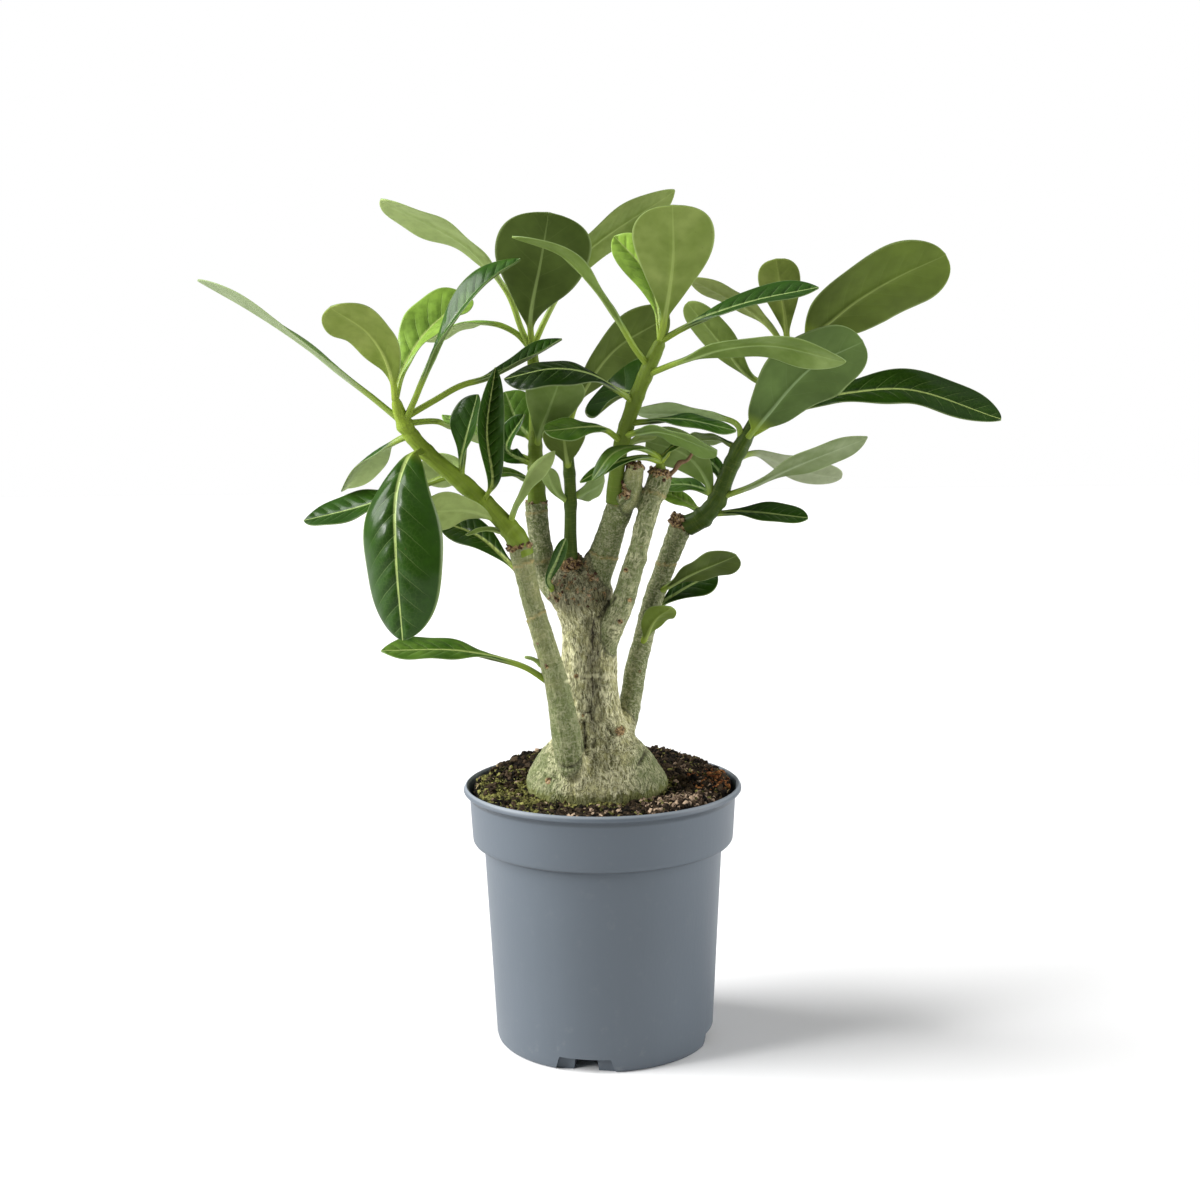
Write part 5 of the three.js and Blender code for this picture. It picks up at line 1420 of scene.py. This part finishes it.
class PLANT_OT_shoots(bpy.types.Operator):
    """Makes the leafy shoots, each with its green stem and its leaves"""
    bl_idname = "plant.shoots"
    bl_label = "Leafy shoots"

    def execute(self, context):
        sizes = context.scene.desert_rose.leaf
        blade, bark = finish("leaf", leaf_skin, sizes), finish("green stem", green_bark, sizes)
        for number, (name, (points, radii, tone, leaves)) in enumerate(SHOOTS.items()):
            skin = Skin(*LEAF_MARKS)
            path = Path(points)
            add_stem(skin, path, radii, [one.at for one in leaves], tone=tone, seed=number * 0.37)
            for place, one in enumerate(leaves):
                add_leaf(skin, path.points(np.array([one.at]))[0], one, number * 17 + place)
            place_piece(skin.piece(name + "_leaves", [blade, bark]), "leaf", name)
        return {"FINISHED"}


class PLANT_OT_lone_leaves(bpy.types.Operator):
    """Makes the leaves that stand straight on the wood"""
    bl_idname = "plant.lone_leaves"
    bl_label = "Lone leaves"

    def execute(self, context):
        sizes = context.scene.desert_rose.leaf
        light, dark = finish("lone leaf", leaf_skin, sizes), finish("dark leaf", leaf_skin, sizes, DARK_LEAF)
        for number, (name, one) in enumerate(LONE_LEAVES.items()):
            skin = Skin(*LEAF_MARKS)
            add_leaf(skin, one.at, one, 200 + number)
            shade, slot = (dark, "leaf_dark") if "dark" in name else (light, "leaf")
            place_piece(skin.piece(name + "_blade", [shade]), slot, name)
        return {"FINISHED"}


class PLANT_OT_dry_stalk(bpy.types.Operator):
    """Makes the dried flower stalk beside the bud"""
    bl_idname = "plant.dry_stalk"
    bl_label = "Dry stalk"

    def execute(self, context):
        skin = Skin(*LEAF_MARKS)
        add_stem(skin, Path(DRY_STALK), DRY_STALK_RADII, DRY_STALK_KNOTS, kind=0, facets=12, step=0.4, slim=0)
        husk = finish("dry husk", loose_grain, *HUSK)
        place_piece(skin.piece("dry_stalk_husk", [husk]), "husk", "dry_stalk")
        return {"FINISHED"}


def put_lamps(sizes):
    for name, (source, power, spread) in LAMPS.items():
        light = bpy.data.lights.new(name, "SUN")
        light.energy = getattr(sizes, power)
        light.angle = math.radians(spread)
        lamp = put_in(name, light)
        lamp.location = source
        lamp.rotation_euler = Vector(source).to_track_quat("Z", "Y").to_euler()


def lit_room(glow):
    """A white room that gives a weak, even light."""
    world = bpy.data.worlds.new("room")
    bench = empty_bench(world)
    ray = bench.node("ShaderNodeLightPath")
    shine = ray["Is Camera Ray"] * (1 - glow) + glow + ray["Is Glossy Ray"] * ROOM_GLOSS
    white = bench.node("ShaderNodeBackground", {}, {"Color": (1, 1, 1, 1), "Strength": shine})
    bench.node("ShaderNodeOutputWorld", {}, {"Surface": white})
    return world


def aimed_camera():
    pitch, roll = math.radians(CAMERA_PITCH), math.radians(CAMERA_ROLL)
    right, up = Vector((1, 0, 0)), Vector((0, math.sin(pitch), math.cos(pitch)))
    ahead = Vector((0, math.cos(pitch), -math.sin(pitch)))
    axis_x = right * math.cos(roll) + up * math.sin(roll)
    axis_y = up * math.cos(roll) - right * math.sin(roll)
    lens = bpy.data.cameras.new("camera")
    lens.sensor_width = CAMERA_SENSOR
    lens.lens = CAMERA_LENS
    camera = put_in("camera", lens)
    turn = Matrix((axis_x, axis_y, -ahead)).transposed().to_4x4()
    camera.matrix_world = Matrix.Translation(CAMERA_PLACE) @ turn
    return camera


class PLANT_OT_studio(bpy.types.Operator):
    """Makes the pale floor, the soft lights and the camera"""
    bl_idname = "plant.studio"
    bl_label = "Studio"

    def execute(self, context):
        sizes = context.scene.desert_rose.studio
        scene = context.scene
        scene.view_settings.view_transform = "Standard"
        mesh = bpy.data.meshes.new("floor")
        mesh.from_pydata(FLOOR_CORNERS, [], [(0, 1, 2, 3)])
        floor = piece_of("floor", mesh, [finish("studio floor", studio_white, sizes)])
        put_lamps(sizes)
        scene.world = lit_room(sizes.sky)
        scene.camera = aimed_camera()
        return {"FINISHED"}


class PLANT_PT_parts(bpy.types.Panel):
    """Lists the pieces of the plant and their sizes"""
    bl_idname = "PLANT_PT_parts"
    bl_label = "Desert rose"
    bl_space_type = "VIEW_3D"
    bl_region_type = "UI"
    bl_category = "Desert rose"

    def draw(self, context):
        settings = context.scene.desert_rose
        for operator, group in PARTS:
            box = self.layout.box()
            box.operator(operator.bl_idname)
            sizes = getattr(settings, group) if group else None
            for name in getattr(type(sizes), "__annotations__", ()):
                box.prop(sizes, name)


PARTS = [
    (PLANT_OT_studio, "studio"), (PLANT_OT_pot, "pot"), (PLANT_OT_peat, "peat"), (PLANT_OT_wood, "bark"),
    (PLANT_OT_shoots, "leaf"), (PLANT_OT_lone_leaves, ""), (PLANT_OT_dry_stalk, ""),
]
CLASSES = [PotSizes, LeafSizes, BarkSizes, PeatSizes, StudioSizes, PlantSettings, *(part for part, _ in PARTS),
           PLANT_PT_parts]


def register():
    for one in CLASSES:
        bpy.utils.register_class(one)
    bpy.types.Scene.desert_rose = bpy.props.PointerProperty(type=PlantSettings)


def unregister():
    del bpy.types.Scene.desert_rose
    for one in reversed(CLASSES):
        bpy.utils.unregister_class(one)


def main():
    register()
    for operator, _ in PARTS:
        group, name = operator.bl_idname.split(".")
        getattr(getattr(bpy.ops, group), name)()


if __name__ == "__main__":
    main()
